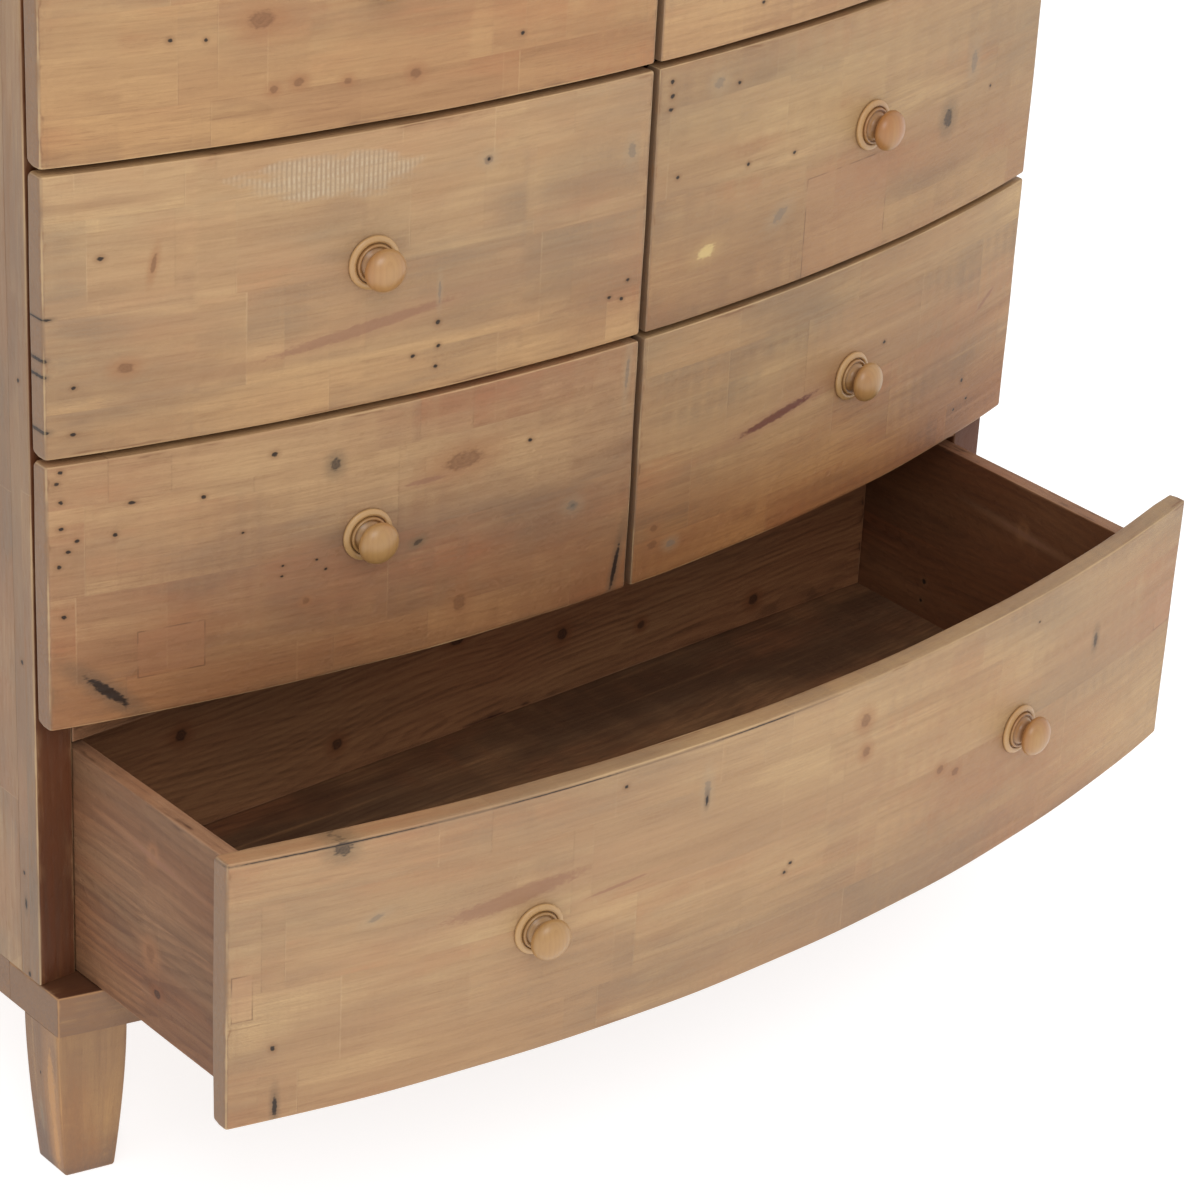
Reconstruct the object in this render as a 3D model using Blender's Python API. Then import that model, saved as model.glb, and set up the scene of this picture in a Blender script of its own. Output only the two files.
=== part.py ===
"""A bow-front chest of drawers in reclaimed pine.

Three rows of two drawers stand over one wide drawer, which is pulled open. The carcass is two thick
sides on a base with four tapered feet, under a top board whose front edge follows the bow. Sizes are in
metres. X runs to the right, Y to the back and Z up; the carcass is drawn with the front of its posts on
Y = 0 and the floor on Z = 0, and the whole is then centred over the origin.
"""

import math

import bmesh
import bpy
import numpy as np
from mathutils import Vector

# Carcass
CARCASS_WIDTH = 1.050
CARCASS_DEPTH = 0.375
SIDE_THICKNESS = 0.034
PARTITION_THICKNESS = 0.025
BACK_THICKNESS = 0.012
RAIL_THICKNESS = 0.029
RAIL_DEPTH = 0.055
DUST_BOARD_THICKNESS = 0.012

# Base, feet and top
BASE_HEIGHT = 0.037
BASE_RAIL_BEHIND_POSTS = 0.045
BASE_PROUD_OF_FRONTS = 0.003
FOOT_HEIGHT = 0.143
FOOT_WIDTH = 0.058
FOOT_BEHIND_POSTS = 0.026
REAR_FOOT_DEPTH = 0.052
FOOT_TAPER = 0.008
FOOT_TAPER_POWER = 1.6
FOOT_CORNER = 0.003
TOP_THICKNESS = 0.028
TOP_SIDE_OVERHANG = 0.015
TOP_FRONT_OVERHANG = 0.012

# Drawer fronts
BOW_RISE = 0.076
FRONT_THICKNESS = 0.019
FRONT_STANDOFF = 0.0018
ROW_FRONT_HEIGHT = 0.2255
WIDE_FRONT_HEIGHT = 0.237
ROW_NAMES = ("lower", "middle", "top")
GAP_BETWEEN_ROWS = 0.0055
GAP_BETWEEN_LEFT_AND_RIGHT = 0.006
FRONT_OVER_LEDGE = 0.002
FRONT_EASE = 0.0025

# Drawer boxes
DRAWER_SIDE_THICKNESS = 0.015
DRAWER_BACK_THICKNESS = 0.015
DRAWER_BOTTOM_THICKNESS = 0.012
DRAWER_BOTTOM_RISE = 0.012
GROOVE_DEPTH = 0.006
WIDE_DRAWER_LEFT_INSIDE = 0.106

# Knobs
WIDE_KNOB_FROM_SIDE = 0.257
ROW_KNOB_ABOVE_MIDDLE = 0.006
WIDE_KNOB_ABOVE_MIDDLE = -0.004
ROSETTE_RADIUS = 0.022
BALL_RADIUS = 0.0175
NECK_RADIUS = 0.0092
KNOB_LENGTH = 0.0295
TENON_RADIUS = 0.005
TENON_LENGTH = 0.012

# Clearances
TOUCHING_GAP = 0.0003
DRAWER_SIDE_CLEARANCE = 0.001
DRAWER_UNDER_CLEARANCE = 0.001
DRAWER_HEADROOM = 0.0065
DRAWER_REAR_CLEARANCE = 0.026
TENON_CLEARANCE = 0.0003

# Fineness of round shapes
ARC_STEP = 0.044
KNOB_SEGMENTS = 20
TENON_SEGMENTS = 12
FOOT_RINGS = 6

# Heights that follow from the sizes above
BASE_BOTTOM = FOOT_HEIGHT
LEDGE = BASE_BOTTOM + BASE_HEIGHT
WIDE_FRONT_BOTTOM = LEDGE + FRONT_OVER_LEDGE
ROWS_BOTTOM = WIDE_FRONT_BOTTOM + WIDE_FRONT_HEIGHT + GAP_BETWEEN_ROWS
ROW_PITCH = ROW_FRONT_HEIGHT + GAP_BETWEEN_ROWS
TOP_UNDERSIDE = ROWS_BOTTOM + len(ROW_NAMES) * ROW_PITCH

# Widths and depths that follow from them
HALF_WIDTH = CARCASS_WIDTH / 2
INNER_HALF_WIDTH = HALF_WIDTH - SIDE_THICKNESS
BACK_PANEL_FRONT = CARCASS_DEPTH - BACK_THICKNESS
DRAWER_REAR = BACK_PANEL_FRONT - DRAWER_REAR_CLEARANCE
WIDE_DRAWER_PULL = DRAWER_REAR - WIDE_DRAWER_LEFT_INSIDE
WIDE_KNOB_X = HALF_WIDTH - WIDE_KNOB_FROM_SIDE
BOW_RADIUS = (HALF_WIDTH**2 + BOW_RISE**2) / (2 * BOW_RISE)
FRONT_FACE_OFFSET = FRONT_STANDOFF + FRONT_THICKNESS


def bow(x):
    """How far the curve of the fronts stands forward at x: an arc through both ends of the carcass."""
    return math.sqrt(BOW_RADIUS**2 - x**2) - (BOW_RADIUS - BOW_RISE)


def bow_slope(x):
    """The curve's slope at x, the change of bow(x) for each metre to the right."""
    return -x / math.sqrt(BOW_RADIUS**2 - x**2)


def arc_line(left, right, offset):
    """Points (x, y) from left to right on the bow, moved forward by offset."""
    steps = max(2, round((right - left) / ARC_STEP))
    return [(x, -offset - bow(x)) for x in np.linspace(left, right, steps + 1).tolist()]


def clear_scene():
    for obj in list(bpy.data.objects):
        bpy.data.objects.remove(obj, do_unlink=True)


def wood(name, colour, roughness):
    """A wood's material, as a Principled BSDF."""
    material = bpy.data.materials.new(name)
    material.use_nodes = True
    shader = material.node_tree.nodes["Principled BSDF"]
    shader.inputs["Base Color"].default_value = (*colour, 1.0)
    shader.inputs["Roughness"].default_value = roughness
    shader.inputs["Metallic"].default_value = 0.0
    material.diffuse_color = (*colour, 1.0)
    return material


def empty_at(name, parent, location):
    """An empty that carries pieces, at a place given in the carcass's coordinates."""
    empty = bpy.data.objects.new(name, None)
    empty.empty_display_size = 0.05
    bpy.context.scene.collection.objects.link(empty)
    empty.parent = parent
    empty.location = location
    empty["home"] = tuple(location)
    return empty


def add_piece(name, mesh, parent, home, material):
    """An object that holds the mesh and whose origin is home, given in the carcass's coordinates."""
    if material:
        mesh.materials.append(material)
    obj = bpy.data.objects.new(name, mesh)
    bpy.context.scene.collection.objects.link(obj)
    obj.parent = parent
    obj.location = Vector(home) - Vector(parent["home"])
    return obj


def ease_edges(obj, width, segments=1):
    """Rounds the object's sharp edges a little, as wear and sandpaper do."""
    bevel = obj.modifiers.new("eased_edges", "BEVEL")
    bevel.width = width
    bevel.segments = segments
    bevel.limit_method = "ANGLE"
    bevel.angle_limit = math.radians(40)


def loft(name, rings, parent, material):
    """A closed solid through rings of the same number of points, with its origin at its middle."""
    points = np.array(rings, float)
    middle = (points.min(axis=(0, 1)) + points.max(axis=(0, 1))) / 2
    bm = bmesh.new()
    loops = [[bm.verts.new(point - middle) for point in ring] for ring in points]
    bm.faces.new(loops[0])
    bm.faces.new(loops[-1])
    for low, high in zip(loops, loops[1:]):
        for i in range(len(low)):
            j = (i + 1) % len(low)
            bm.faces.new((low[i], low[j], high[j], high[i]))
    bmesh.ops.recalc_face_normals(bm, faces=bm.faces)
    mesh = bpy.data.meshes.new(name)
    bm.to_mesh(mesh)
    bm.free()
    return add_piece(name, mesh, parent, middle, material)


def upright_board(name, outline, low, high, parent, material):
    """A board whose outline in X and Y rises from low to high."""
    rings = [[(x, y, z) for x, y in outline] for z in (low, high)]
    return loft(name, rings, parent, material)


def box(name, x_range, y_range, z_range, parent, material):
    (left, right), (front, back) = x_range, y_range
    outline = [(left, front), (right, front), (right, back), (left, back)]
    return upright_board(name, outline, *z_range, parent, material)


def bowed_board(name, x_range, offset, back, z_range, parent, material):
    """A board with a bowed front edge and a straight back edge."""
    left, right = x_range
    outline = arc_line(left, right, offset) + [(right, back), (left, back)]
    return upright_board(name, outline, *z_range, parent, material)


def turned(name, profile, segments):
    """A mesh turned about Z from a profile of (radius, height) points that starts and ends on the axis."""
    bm = bmesh.new()
    verts = [bm.verts.new((radius, 0, height)) for radius, height in profile]
    edges = [bm.edges.new(pair) for pair in zip(verts, verts[1:])]
    bmesh.ops.spin(
        bm, geom=verts + edges, cent=(0, 0, 0), axis=(0, 0, 1), angle=2 * math.pi, steps=segments
    )
    bmesh.ops.remove_doubles(bm, verts=bm.verts, dist=0.00001)
    bmesh.ops.recalc_face_normals(bm, faces=bm.faces)
    mesh = bpy.data.meshes.new(name)
    bm.to_mesh(mesh)
    bm.free()
    mesh.shade_smooth()
    mesh.set_sharp_from_angle(angle=math.radians(40))
    return mesh


def knob_profile():
    """The knob from the end of its tenon to its tip: rosette, two beads, neck and a flattened ball."""
    rim = ROSETTE_RADIUS
    neck = NECK_RADIUS
    ball = BALL_RADIUS
    widest = KNOB_LENGTH - 0.60 * ball
    points = [
        (0, -TENON_LENGTH),
        (TENON_RADIUS, -TENON_LENGTH),
        (TENON_RADIUS, 0),
        (rim, 0),
        (rim, 0.0026),
        (rim - 0.0012, 0.0044),
        (rim - 0.0048, 0.0048),
        (rim - 0.0060, 0.0066),
        (rim - 0.0082, 0.0070),
        (rim - 0.0092, 0.0086),
        (neck + 0.0010, 0.0092),
        (neck, 0.0108),
    ]
    for degrees in (-58, -35, -12, 12, 36, 60, 78):
        angle = math.radians(degrees)
        flattening = 0.36 if degrees < 0 else 0.60
        points.append((ball * math.cos(angle), widest + flattening * ball * math.sin(angle)))
    return points + [(0, KNOB_LENGTH)]


def bored_for_tenon(front, knob, parent):
    """Cuts the blind hole for the knob's tenon, with a hidden cutter on the knob's axis."""
    radius = TENON_RADIUS + TENON_CLEARANCE
    depth = TENON_LENGTH + TENON_CLEARANCE
    profile = [(0, -depth), (radius, -depth), (radius, depth), (0, depth)]
    cutter = add_piece(
        knob.name + "_cutter", turned(knob.name + "_cutter", profile, TENON_SEGMENTS), parent, (0, 0, 0), None
    )
    cutter.location = knob.location
    cutter.rotation_euler = knob.rotation_euler
    cutter.display_type = "WIRE"
    cutter.hide_render = True
    cut = front.modifiers.new("tenon_hole_" + knob.name, "BOOLEAN")
    cut.operation = "DIFFERENCE"
    cut.object = cutter


def add_knob(name, x, z, front, parent, mesh, material):
    """A knob square to the bowed front at x and z, with its tenon in the front."""
    lean = math.atan(bow_slope(x))
    outward = Vector((-math.sin(lean), -math.cos(lean), 0))
    seat = Vector((x, -FRONT_FACE_OFFSET - bow(x), z))
    knob = add_piece(name, mesh, parent, seat + TOUCHING_GAP * outward, None)
    knob.rotation_euler = outward.to_track_quat("Z", "X").to_euler()
    if not mesh.materials:
        mesh.materials.append(material)
    bored_for_tenon(front, knob, parent)


def drawer_side(name, x_range, inner_is_right, heights, parent, material):
    """A drawer side with a groove for the bottom, its front end cut along the back of the front."""
    low, high, groove_low, groove_high = heights
    left, right = x_range
    outer, inner = (left, right) if inner_is_right else (right, left)
    bed = inner - GROOVE_DEPTH if inner_is_right else inner + GROOVE_DEPTH
    section = [
        (outer, low),
        (inner, low),
        (inner, groove_low),
        (bed, groove_low),
        (bed, groove_high),
        (inner, groove_high),
        (inner, high),
        (outer, high),
    ]
    middle = (left + right) / 2
    slope = bow_slope(middle)

    def front_end(x):
        return -(FRONT_STANDOFF - TOUCHING_GAP) - bow(middle) - slope * (x - middle)

    rings = [
        [(x, front_end(x), z) for x, z in section],
        [(x, DRAWER_REAR, z) for x, z in section],
    ]
    return loft(name, rings, parent, material)


def build_drawer(name, front_range, bay_range, front_bottom, front_height, knobs, pull, root, parts):
    """One drawer: a bowed front over the carcass, a box behind it in its bay, and its knobs.

    knobs holds, for each knob's name ending, its x and its height above the middle of the front.
    """
    box_bottom = front_bottom - FRONT_OVER_LEDGE + DRAWER_UNDER_CLEARANCE
    next_shelf = front_bottom + front_height + GAP_BETWEEN_ROWS - FRONT_OVER_LEDGE
    box_top = next_shelf - RAIL_THICKNESS - DRAWER_HEADROOM
    slide = empty_at(name + "_slide", root, (sum(bay_range) / 2, 0, box_bottom))
    slide.location.y = -pull

    left, right = front_range
    outline = arc_line(left, right, FRONT_FACE_OFFSET) + arc_line(left, right, FRONT_STANDOFF)[::-1]
    front = upright_board(
        name + "_front", outline, front_bottom, front_bottom + front_height, slide, parts["front_wood"]
    )
    ease_edges(front, FRONT_EASE, 2)
    middle_z = front_bottom + front_height / 2
    for suffix, (x, above) in knobs.items():
        knob_z = middle_z + above
        add_knob(name + suffix, x, knob_z, front, slide, parts["knob_mesh"], parts["knob_wood"])

    box_left = bay_range[0] + DRAWER_SIDE_CLEARANCE
    box_right = bay_range[1] - DRAWER_SIDE_CLEARANCE
    inner_left = box_left + DRAWER_SIDE_THICKNESS
    inner_right = box_right - DRAWER_SIDE_THICKNESS
    floor_low = box_bottom + DRAWER_BOTTOM_RISE
    floor_high = floor_low + DRAWER_BOTTOM_THICKNESS
    heights = (box_bottom, box_top, floor_low - TOUCHING_GAP, floor_high + TOUCHING_GAP)
    box_wood = parts["box_wood"]
    drawer_side(name + "_side_left", (box_left, inner_left), True, heights, slide, box_wood)
    drawer_side(name + "_side_right", (inner_right, box_right), False, heights, slide, box_wood)
    box(
        name + "_back",
        (inner_left + TOUCHING_GAP, inner_right - TOUCHING_GAP),
        (DRAWER_REAR - DRAWER_BACK_THICKNESS, DRAWER_REAR),
        (floor_high + TOUCHING_GAP, box_top),
        slide,
        box_wood,
    )
    reach = GROOVE_DEPTH - TOUCHING_GAP
    bowed_board(
        name + "_bottom",
        (inner_left - reach, inner_right + reach),
        FRONT_STANDOFF - 2 * TOUCHING_GAP,
        DRAWER_REAR,
        (floor_low, floor_high),
        slide,
        box_wood,
    )


def rail_with_dust_board(name, x_range, top, root, material):
    """A front rail with a thinner dust board behind it, flush on top, as one L-shaped section."""
    front_bottom = top - RAIL_THICKNESS
    dust_bottom = top - DUST_BOARD_THICKNESS
    back = BACK_PANEL_FRONT - TOUCHING_GAP
    section = [
        (0, front_bottom),
        (RAIL_DEPTH, front_bottom),
        (RAIL_DEPTH, dust_bottom),
        (back, dust_bottom),
        (back, top),
        (0, top),
    ]
    rings = [[(x, y, z) for y, z in section] for x in x_range]
    return loft(name, rings, root, material)


def foot_ring(x_out, x_in, y_front_out, y_front_in, y_back, z, inset):
    """A ring round a foot at height z, drawn in by inset and cut across its corners.

    The corners run from the outer front one along the front, and the front may be askew to follow the bow.
    """
    toward = 1 if x_in > x_out else -1
    out, inward = x_out + toward * inset, x_in - toward * inset
    corners = [
        Vector((out, y_front_out + inset)),
        Vector((inward, y_front_in + inset)),
        Vector((inward, y_back - inset)),
        Vector((out, y_back - inset)),
    ]
    ring = []
    for i, corner in enumerate(corners):
        for other in (corners[i - 1], corners[(i + 1) % 4]):
            point = corner + FOOT_CORNER * (other - corner).normalized()
            ring.append((point.x, point.y, z))
    return ring


def build_foot(name, side, y_fronts, y_back, root, material):
    """A foot under an outer corner of the base, side is -1 or 1, drawn in towards the floor."""
    x_out = side * HALF_WIDTH
    x_in = side * (HALF_WIDTH - FOOT_WIDTH)
    rings = []
    for i in range(FOOT_RINGS):
        down = i / (FOOT_RINGS - 1)
        z = (FOOT_HEIGHT - TOUCHING_GAP) * (1 - down)
        inset = FOOT_TAPER * down**FOOT_TAPER_POWER
        rings.append(foot_ring(x_out, x_in, *y_fronts, y_back, z, inset))
    return loft(name, rings, root, material)


def build_carcass(root, wood_of_case, wood_of_end):
    """The fixed pieces: sides, base, feet, partition, rails, back panel and top board."""
    upright = (LEDGE + TOUCHING_GAP, TOP_UNDERSIDE - TOUCHING_GAP)
    for name, left in (("side_left", -HALF_WIDTH), ("side_right", INNER_HALF_WIDTH)):
        side = box(name, (left, left + SIDE_THICKNESS), (0, CARCASS_DEPTH), upright, root, wood_of_case)
        ease_edges(side, 0.0015)

    base_front = FRONT_FACE_OFFSET + BASE_PROUD_OF_FRONTS
    whole = (-HALF_WIDTH, HALF_WIDTH)
    base_range = (BASE_BOTTOM, LEDGE)
    rail = bowed_board(
        "base_front_rail", whole, base_front, BASE_RAIL_BEHIND_POSTS, base_range, root, wood_of_end
    )
    ease_edges(rail, 0.0015)
    base_back = (BASE_RAIL_BEHIND_POSTS + TOUCHING_GAP, CARCASS_DEPTH)
    board = box("base_board", whole, base_back, base_range, root, wood_of_case)
    ease_edges(board, 0.0015)

    for side, hand in ((-1, "left"), (1, "right")):
        fronts = [-base_front - bow(side * (HALF_WIDTH - reach)) for reach in (0, FOOT_WIDTH)]
        build_foot("foot_front_" + hand, side, fronts, FOOT_BEHIND_POSTS, root, wood_of_case)
        rear = [CARCASS_DEPTH - REAR_FOOT_DEPTH] * 2
        build_foot("foot_rear_" + hand, side, rear, CARCASS_DEPTH, root, wood_of_case)

    inner = INNER_HALF_WIDTH - TOUCHING_GAP
    box("back_panel", (-inner, inner), (BACK_PANEL_FRONT, CARCASS_DEPTH), upright, root, wood_of_case)

    first_shelf = ROWS_BOTTOM - FRONT_OVER_LEDGE
    rail_with_dust_board("rail_above_bottom", (-inner, inner), first_shelf, root, wood_of_case)
    rail_with_dust_board("rail_top", (-inner, inner), upright[1], root, wood_of_case)
    half = PARTITION_THICKNESS / 2
    box(
        "centre_partition",
        (-half, half),
        (0, BACK_PANEL_FRONT - TOUCHING_GAP),
        (first_shelf + TOUCHING_GAP, upright[1] - RAIL_THICKNESS - TOUCHING_GAP),
        root,
        wood_of_case,
    )
    for row, row_name in enumerate(ROW_NAMES[:-1]):
        shelf = first_shelf + (row + 1) * ROW_PITCH
        beside = half + TOUCHING_GAP
        rail_with_dust_board(f"rail_{row_name}_left", (-inner, -beside), shelf, root, wood_of_case)
        rail_with_dust_board(f"rail_{row_name}_right", (beside, inner), shelf, root, wood_of_case)

    reach = HALF_WIDTH + TOP_SIDE_OVERHANG
    top_range = (TOP_UNDERSIDE, TOP_UNDERSIDE + TOP_THICKNESS)
    top = bowed_board(
        "top_board",
        (-reach, reach),
        FRONT_FACE_OFFSET + TOP_FRONT_OVERHANG,
        CARCASS_DEPTH,
        top_range,
        root,
        wood_of_case,
    )
    ease_edges(top, 0.004, 2)


def build_drawers(root, parts):
    """The wide drawer, pulled open, and a left and a right drawer in each row above it."""
    bay = (-INNER_HALF_WIDTH, INNER_HALF_WIDTH)
    wide_knobs = {
        "_knob_left": (-WIDE_KNOB_X, WIDE_KNOB_ABOVE_MIDDLE),
        "_knob_right": (WIDE_KNOB_X, WIDE_KNOB_ABOVE_MIDDLE),
    }
    build_drawer(
        "drawer_bottom",
        (-HALF_WIDTH, HALF_WIDTH),
        bay,
        WIDE_FRONT_BOTTOM,
        WIDE_FRONT_HEIGHT,
        wide_knobs,
        WIDE_DRAWER_PULL,
        root,
        parts,
    )
    split = GAP_BETWEEN_LEFT_AND_RIGHT / 2
    partition = PARTITION_THICKNESS / 2
    for row, row_name in enumerate(ROW_NAMES):
        for side, hand in ((-1, "left"), (1, "right")):
            front_range = sorted((side * HALF_WIDTH, side * split))
            bay = sorted((side * INNER_HALF_WIDTH, side * partition))
            build_drawer(
                f"drawer_{row_name}_{hand}",
                front_range,
                bay,
                ROWS_BOTTOM + row * ROW_PITCH,
                ROW_FRONT_HEIGHT,
                {"_knob": (sum(front_range) / 2, ROW_KNOB_ABOVE_MIDDLE)},
                0.0,
                root,
                parts,
            )


def centre_over_origin(root):
    """Moves the whole so that the origin is under the middle of its bounding box."""
    bpy.context.view_layer.update()
    solids = [obj for obj in bpy.data.objects if obj.type == "MESH" and not obj.hide_render]
    ys = [(obj.matrix_world @ vertex.co).y for obj in solids for vertex in obj.data.vertices]
    root.location.y = -(min(ys) + max(ys)) / 2


def main():
    clear_scene()
    root = empty_at("dresser", None, (0, 0, 0))
    wood_of_case = wood("pine_case", (0.36, 0.23, 0.125), 0.55)
    wood_of_end = wood("pine_base_rail", (0.30, 0.21, 0.13), 0.6)
    parts = {
        "front_wood": wood("pine_front", (0.46, 0.30, 0.155), 0.5),
        "box_wood": wood("pine_box", (0.16, 0.085, 0.045), 0.65),
        "knob_wood": wood("pine_knob", (0.55, 0.34, 0.17), 0.35),
        "knob_mesh": turned("knob", knob_profile(), KNOB_SEGMENTS),
    }
    build_carcass(root, wood_of_case, wood_of_end)
    build_drawers(root, parts)
    centre_over_origin(root)


main()
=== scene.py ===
# %% [markdown]
# # A bow-front chest of drawers in reclaimed pine
#
# The chest stands on four tapered feet. Three rows of two drawers and one wide drawer at the bottom have
# fronts that follow one shallow arc, and the wide drawer is pulled open. Everything is pine from old
# boards: glued-up strips of different tones, nail holes, knots, stains and rounded, rubbed edges.
#
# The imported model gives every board's place. This script puts a finer board in the place of each plain one
# and then works on the wood itself, because on such a chest nearly all the character is in the surface.

# %% Load the frame
import math
import zlib

import bpy
import numpy as np
from mathutils import Matrix, Vector


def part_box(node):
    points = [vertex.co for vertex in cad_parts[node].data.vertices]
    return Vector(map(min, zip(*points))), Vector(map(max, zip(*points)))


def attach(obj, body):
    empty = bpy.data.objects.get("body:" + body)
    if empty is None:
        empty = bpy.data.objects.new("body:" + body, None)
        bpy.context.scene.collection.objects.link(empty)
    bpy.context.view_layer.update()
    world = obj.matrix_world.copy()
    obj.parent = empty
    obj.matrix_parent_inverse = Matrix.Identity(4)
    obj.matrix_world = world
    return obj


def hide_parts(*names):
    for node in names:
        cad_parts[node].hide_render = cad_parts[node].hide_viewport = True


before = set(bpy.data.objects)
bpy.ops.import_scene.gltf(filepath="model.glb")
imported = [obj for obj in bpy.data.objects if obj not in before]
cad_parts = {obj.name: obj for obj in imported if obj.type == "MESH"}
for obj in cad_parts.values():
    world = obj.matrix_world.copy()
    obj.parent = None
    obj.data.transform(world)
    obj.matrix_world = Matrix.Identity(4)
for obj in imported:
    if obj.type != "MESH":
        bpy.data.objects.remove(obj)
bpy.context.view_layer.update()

# %% [markdown]
# ## The arc of the fronts
#
# All the fronts lie on one circular arc, as if they were sawn from one long curved board. An arc is fixed by
# its width and its rise, and both can be read from the box of the wide front: its depth is the rise plus the
# board's thickness. The arc comes back again in the rails, the top board, the feet and the drawer boxes.

# %% The bow
MM = 0.001
FRONT_THICKNESS = 0.019
wide_low, wide_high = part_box("drawer_bottom_front")
half_width = wide_high[0]
BOW_RISE = wide_high[1] - wide_low[1] - FRONT_THICKNESS
BOW_RADIUS = (half_width**2 + BOW_RISE**2) / (2 * BOW_RISE)
post_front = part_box("side_left")[0][1]


def bow(x):
    """How far the arc stands forward at x: the circle's height there less its height at the ends."""
    return np.sqrt(BOW_RADIUS**2 - np.asarray(x) ** 2) - (BOW_RADIUS - BOW_RISE)


print(f"rise {BOW_RISE / MM:.1f} mm on a radius of {BOW_RADIUS:.3f} m")

# %% [markdown]
# ## A worn board
#
# Every board here began as a sawn one with square edges, and years of hands and sandpaper have rounded them
# unevenly. A Bevel modifier would round all edges alike, so the board is worked out as a surface instead.
# Its six faces are one net of quads. Each point of the net is pushed onto a shell at a chosen distance round
# a smaller box inside, which leaves faces flat and turns edges and corners into arcs. The distance may change
# from point to point, so one edge can be rubbed rounder than another.
#
# Each board also keeps where its points lay in the straight plank: along the grain, across it and through
# the thickness. The materials read that, so that the grain follows a curved front and stays in its board
# when a drawer slides.

# %% Lines of the net
TURN_DEGREES = (45, 33, 22, 11)


def ticks(length, radius, step):
    """Places of the net's lines along one side: four within each rounded end, then even steps between."""
    turn = radius * (1 - np.tan(np.radians(TURN_DEGREES)))
    middle = np.linspace(radius, length - radius, max(2, round((length - 2 * radius) / step)) + 1)
    return np.concatenate([turn, middle, length - turn[::-1]])


print(len(TURN_DEGREES), "lines within each rounded end")


# %% The net of a board
def box_net(size, radius, step):
    """Points and quads of a box's six faces, joined along the edges, counted on one lattice of lines.

    A lattice point's number is i * stride_x + j * stride_y + k, so a point that faces share gets one number.
    """
    lines = [ticks(length, radius, step) for length in size]
    counts = np.array([len(line) - 1 for line in lines])
    quads = []
    for axis in range(3):
        b, c = (axis + 1) % 3, (axis + 2) % 3
        u, v = np.meshgrid(np.arange(counts[b]), np.arange(counts[c]), indexing="ij")
        for end in (0, counts[axis]):
            quad = np.empty(u.shape + (4, 3), int)
            for corner, (du, dv) in enumerate(((0, 0), (1, 0), (1, 1), (0, 1))):
                quad[..., corner, axis] = end
                quad[..., corner, b] = u + du
                quad[..., corner, c] = v + dv
            quads.append(quad.reshape(-1, 4, 3)[:, :: 1 if end else -1])
    stride = np.array([(counts[1] + 1) * (counts[2] + 1), counts[2] + 1, 1])
    numbers, faces = np.unique(np.concatenate(quads) @ stride, return_inverse=True)
    lattice = np.stack(np.unravel_index(numbers, counts + 1), axis=-1)
    points = np.stack([lines[k][lattice[:, k]] for k in range(3)], axis=-1)
    return points, faces.reshape(-1, 4)


print(len(box_net(np.array([0.1, 0.1, 0.02]), 2 * MM, 8 * MM)[1]), "quads on a board of 100 x 100 x 20 mm")


# %% Rounding
WAVES, SLOW_WAVES = (31, 23, 37), (11, 17, 13)


def rounded(points, size, radius):
    """Each point is drawn to the inner box and pushed out again by radius, in the direction it came from."""
    radius = np.broadcast_to(radius, len(points))[:, None]
    inner = np.clip(points, radius, size - radius)
    out = points - inner
    return inner + radius * out / np.maximum(np.linalg.norm(out, axis=1, keepdims=True), 1e-9)


def rubbed(points, name, least, most):
    """A rounding radius from least to most that drifts along the board, as a product of two slow waves."""
    turn = zlib.crc32(name.encode()) % 628 / 100
    waves = np.sin(points @ WAVES + turn) * np.sin(points @ SLOW_WAVES + 2 * turn)
    return least + (most - least) * (0.5 + 0.5 * waves)


print("a corner rounded by 1 to 2 mm:", rubbed(np.zeros((1, 3)), "sample", 1, 2).round(2), "mm")


# %% Make a mesh object
SHARP_FROM = math.radians(45)


def solid(name, points, faces, places):
    """An object at the origin from points and faces, with named values at its points."""
    mesh = bpy.data.meshes.new(name)
    mesh.from_pydata(points.tolist(), [], faces)
    for label, values in places.items():
        kind, key = ("FLOAT_VECTOR", "vector") if values.ndim == 2 else ("FLOAT", "value")
        attribute = mesh.attributes.new(label, kind, "POINT")
        attribute.data.foreach_set(key, values.ravel().astype(np.float32))
    mesh.shade_smooth()
    mesh.set_sharp_from_angle(angle=SHARP_FROM)
    obj = bpy.data.objects.new(name, mesh)
    bpy.context.scene.collection.objects.link(obj)
    return obj


def finish_piece(obj, material, body, slot, *nodes):
    """Gives a piece its wood and its body, and lets it stand for its nodes."""
    obj.data.materials.append(material)
    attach(obj, body)
    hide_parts(*nodes)
    return obj


print("edges that turn by more than", round(math.degrees(SHARP_FROM)), "degrees stay sharp")


# %% A board between two corners
END_REACH = 0.01 * MM
AXES = {"x": 0, "y": 1, "z": 2}
# The order of axes along, across and through a board whose grain runs along the key.
GRAIN_ORDER = {"x": [0, 2, 1], "y": [1, 2, 0], "z": [2, 1, 0]}


def stock_place_of(name):
    """Where in the store of boards a piece was sawn from, up to 4 m off, so that no two look alike."""
    return np.random.default_rng(zlib.crc32(name.encode())).uniform(-4, 4, 3)


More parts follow.
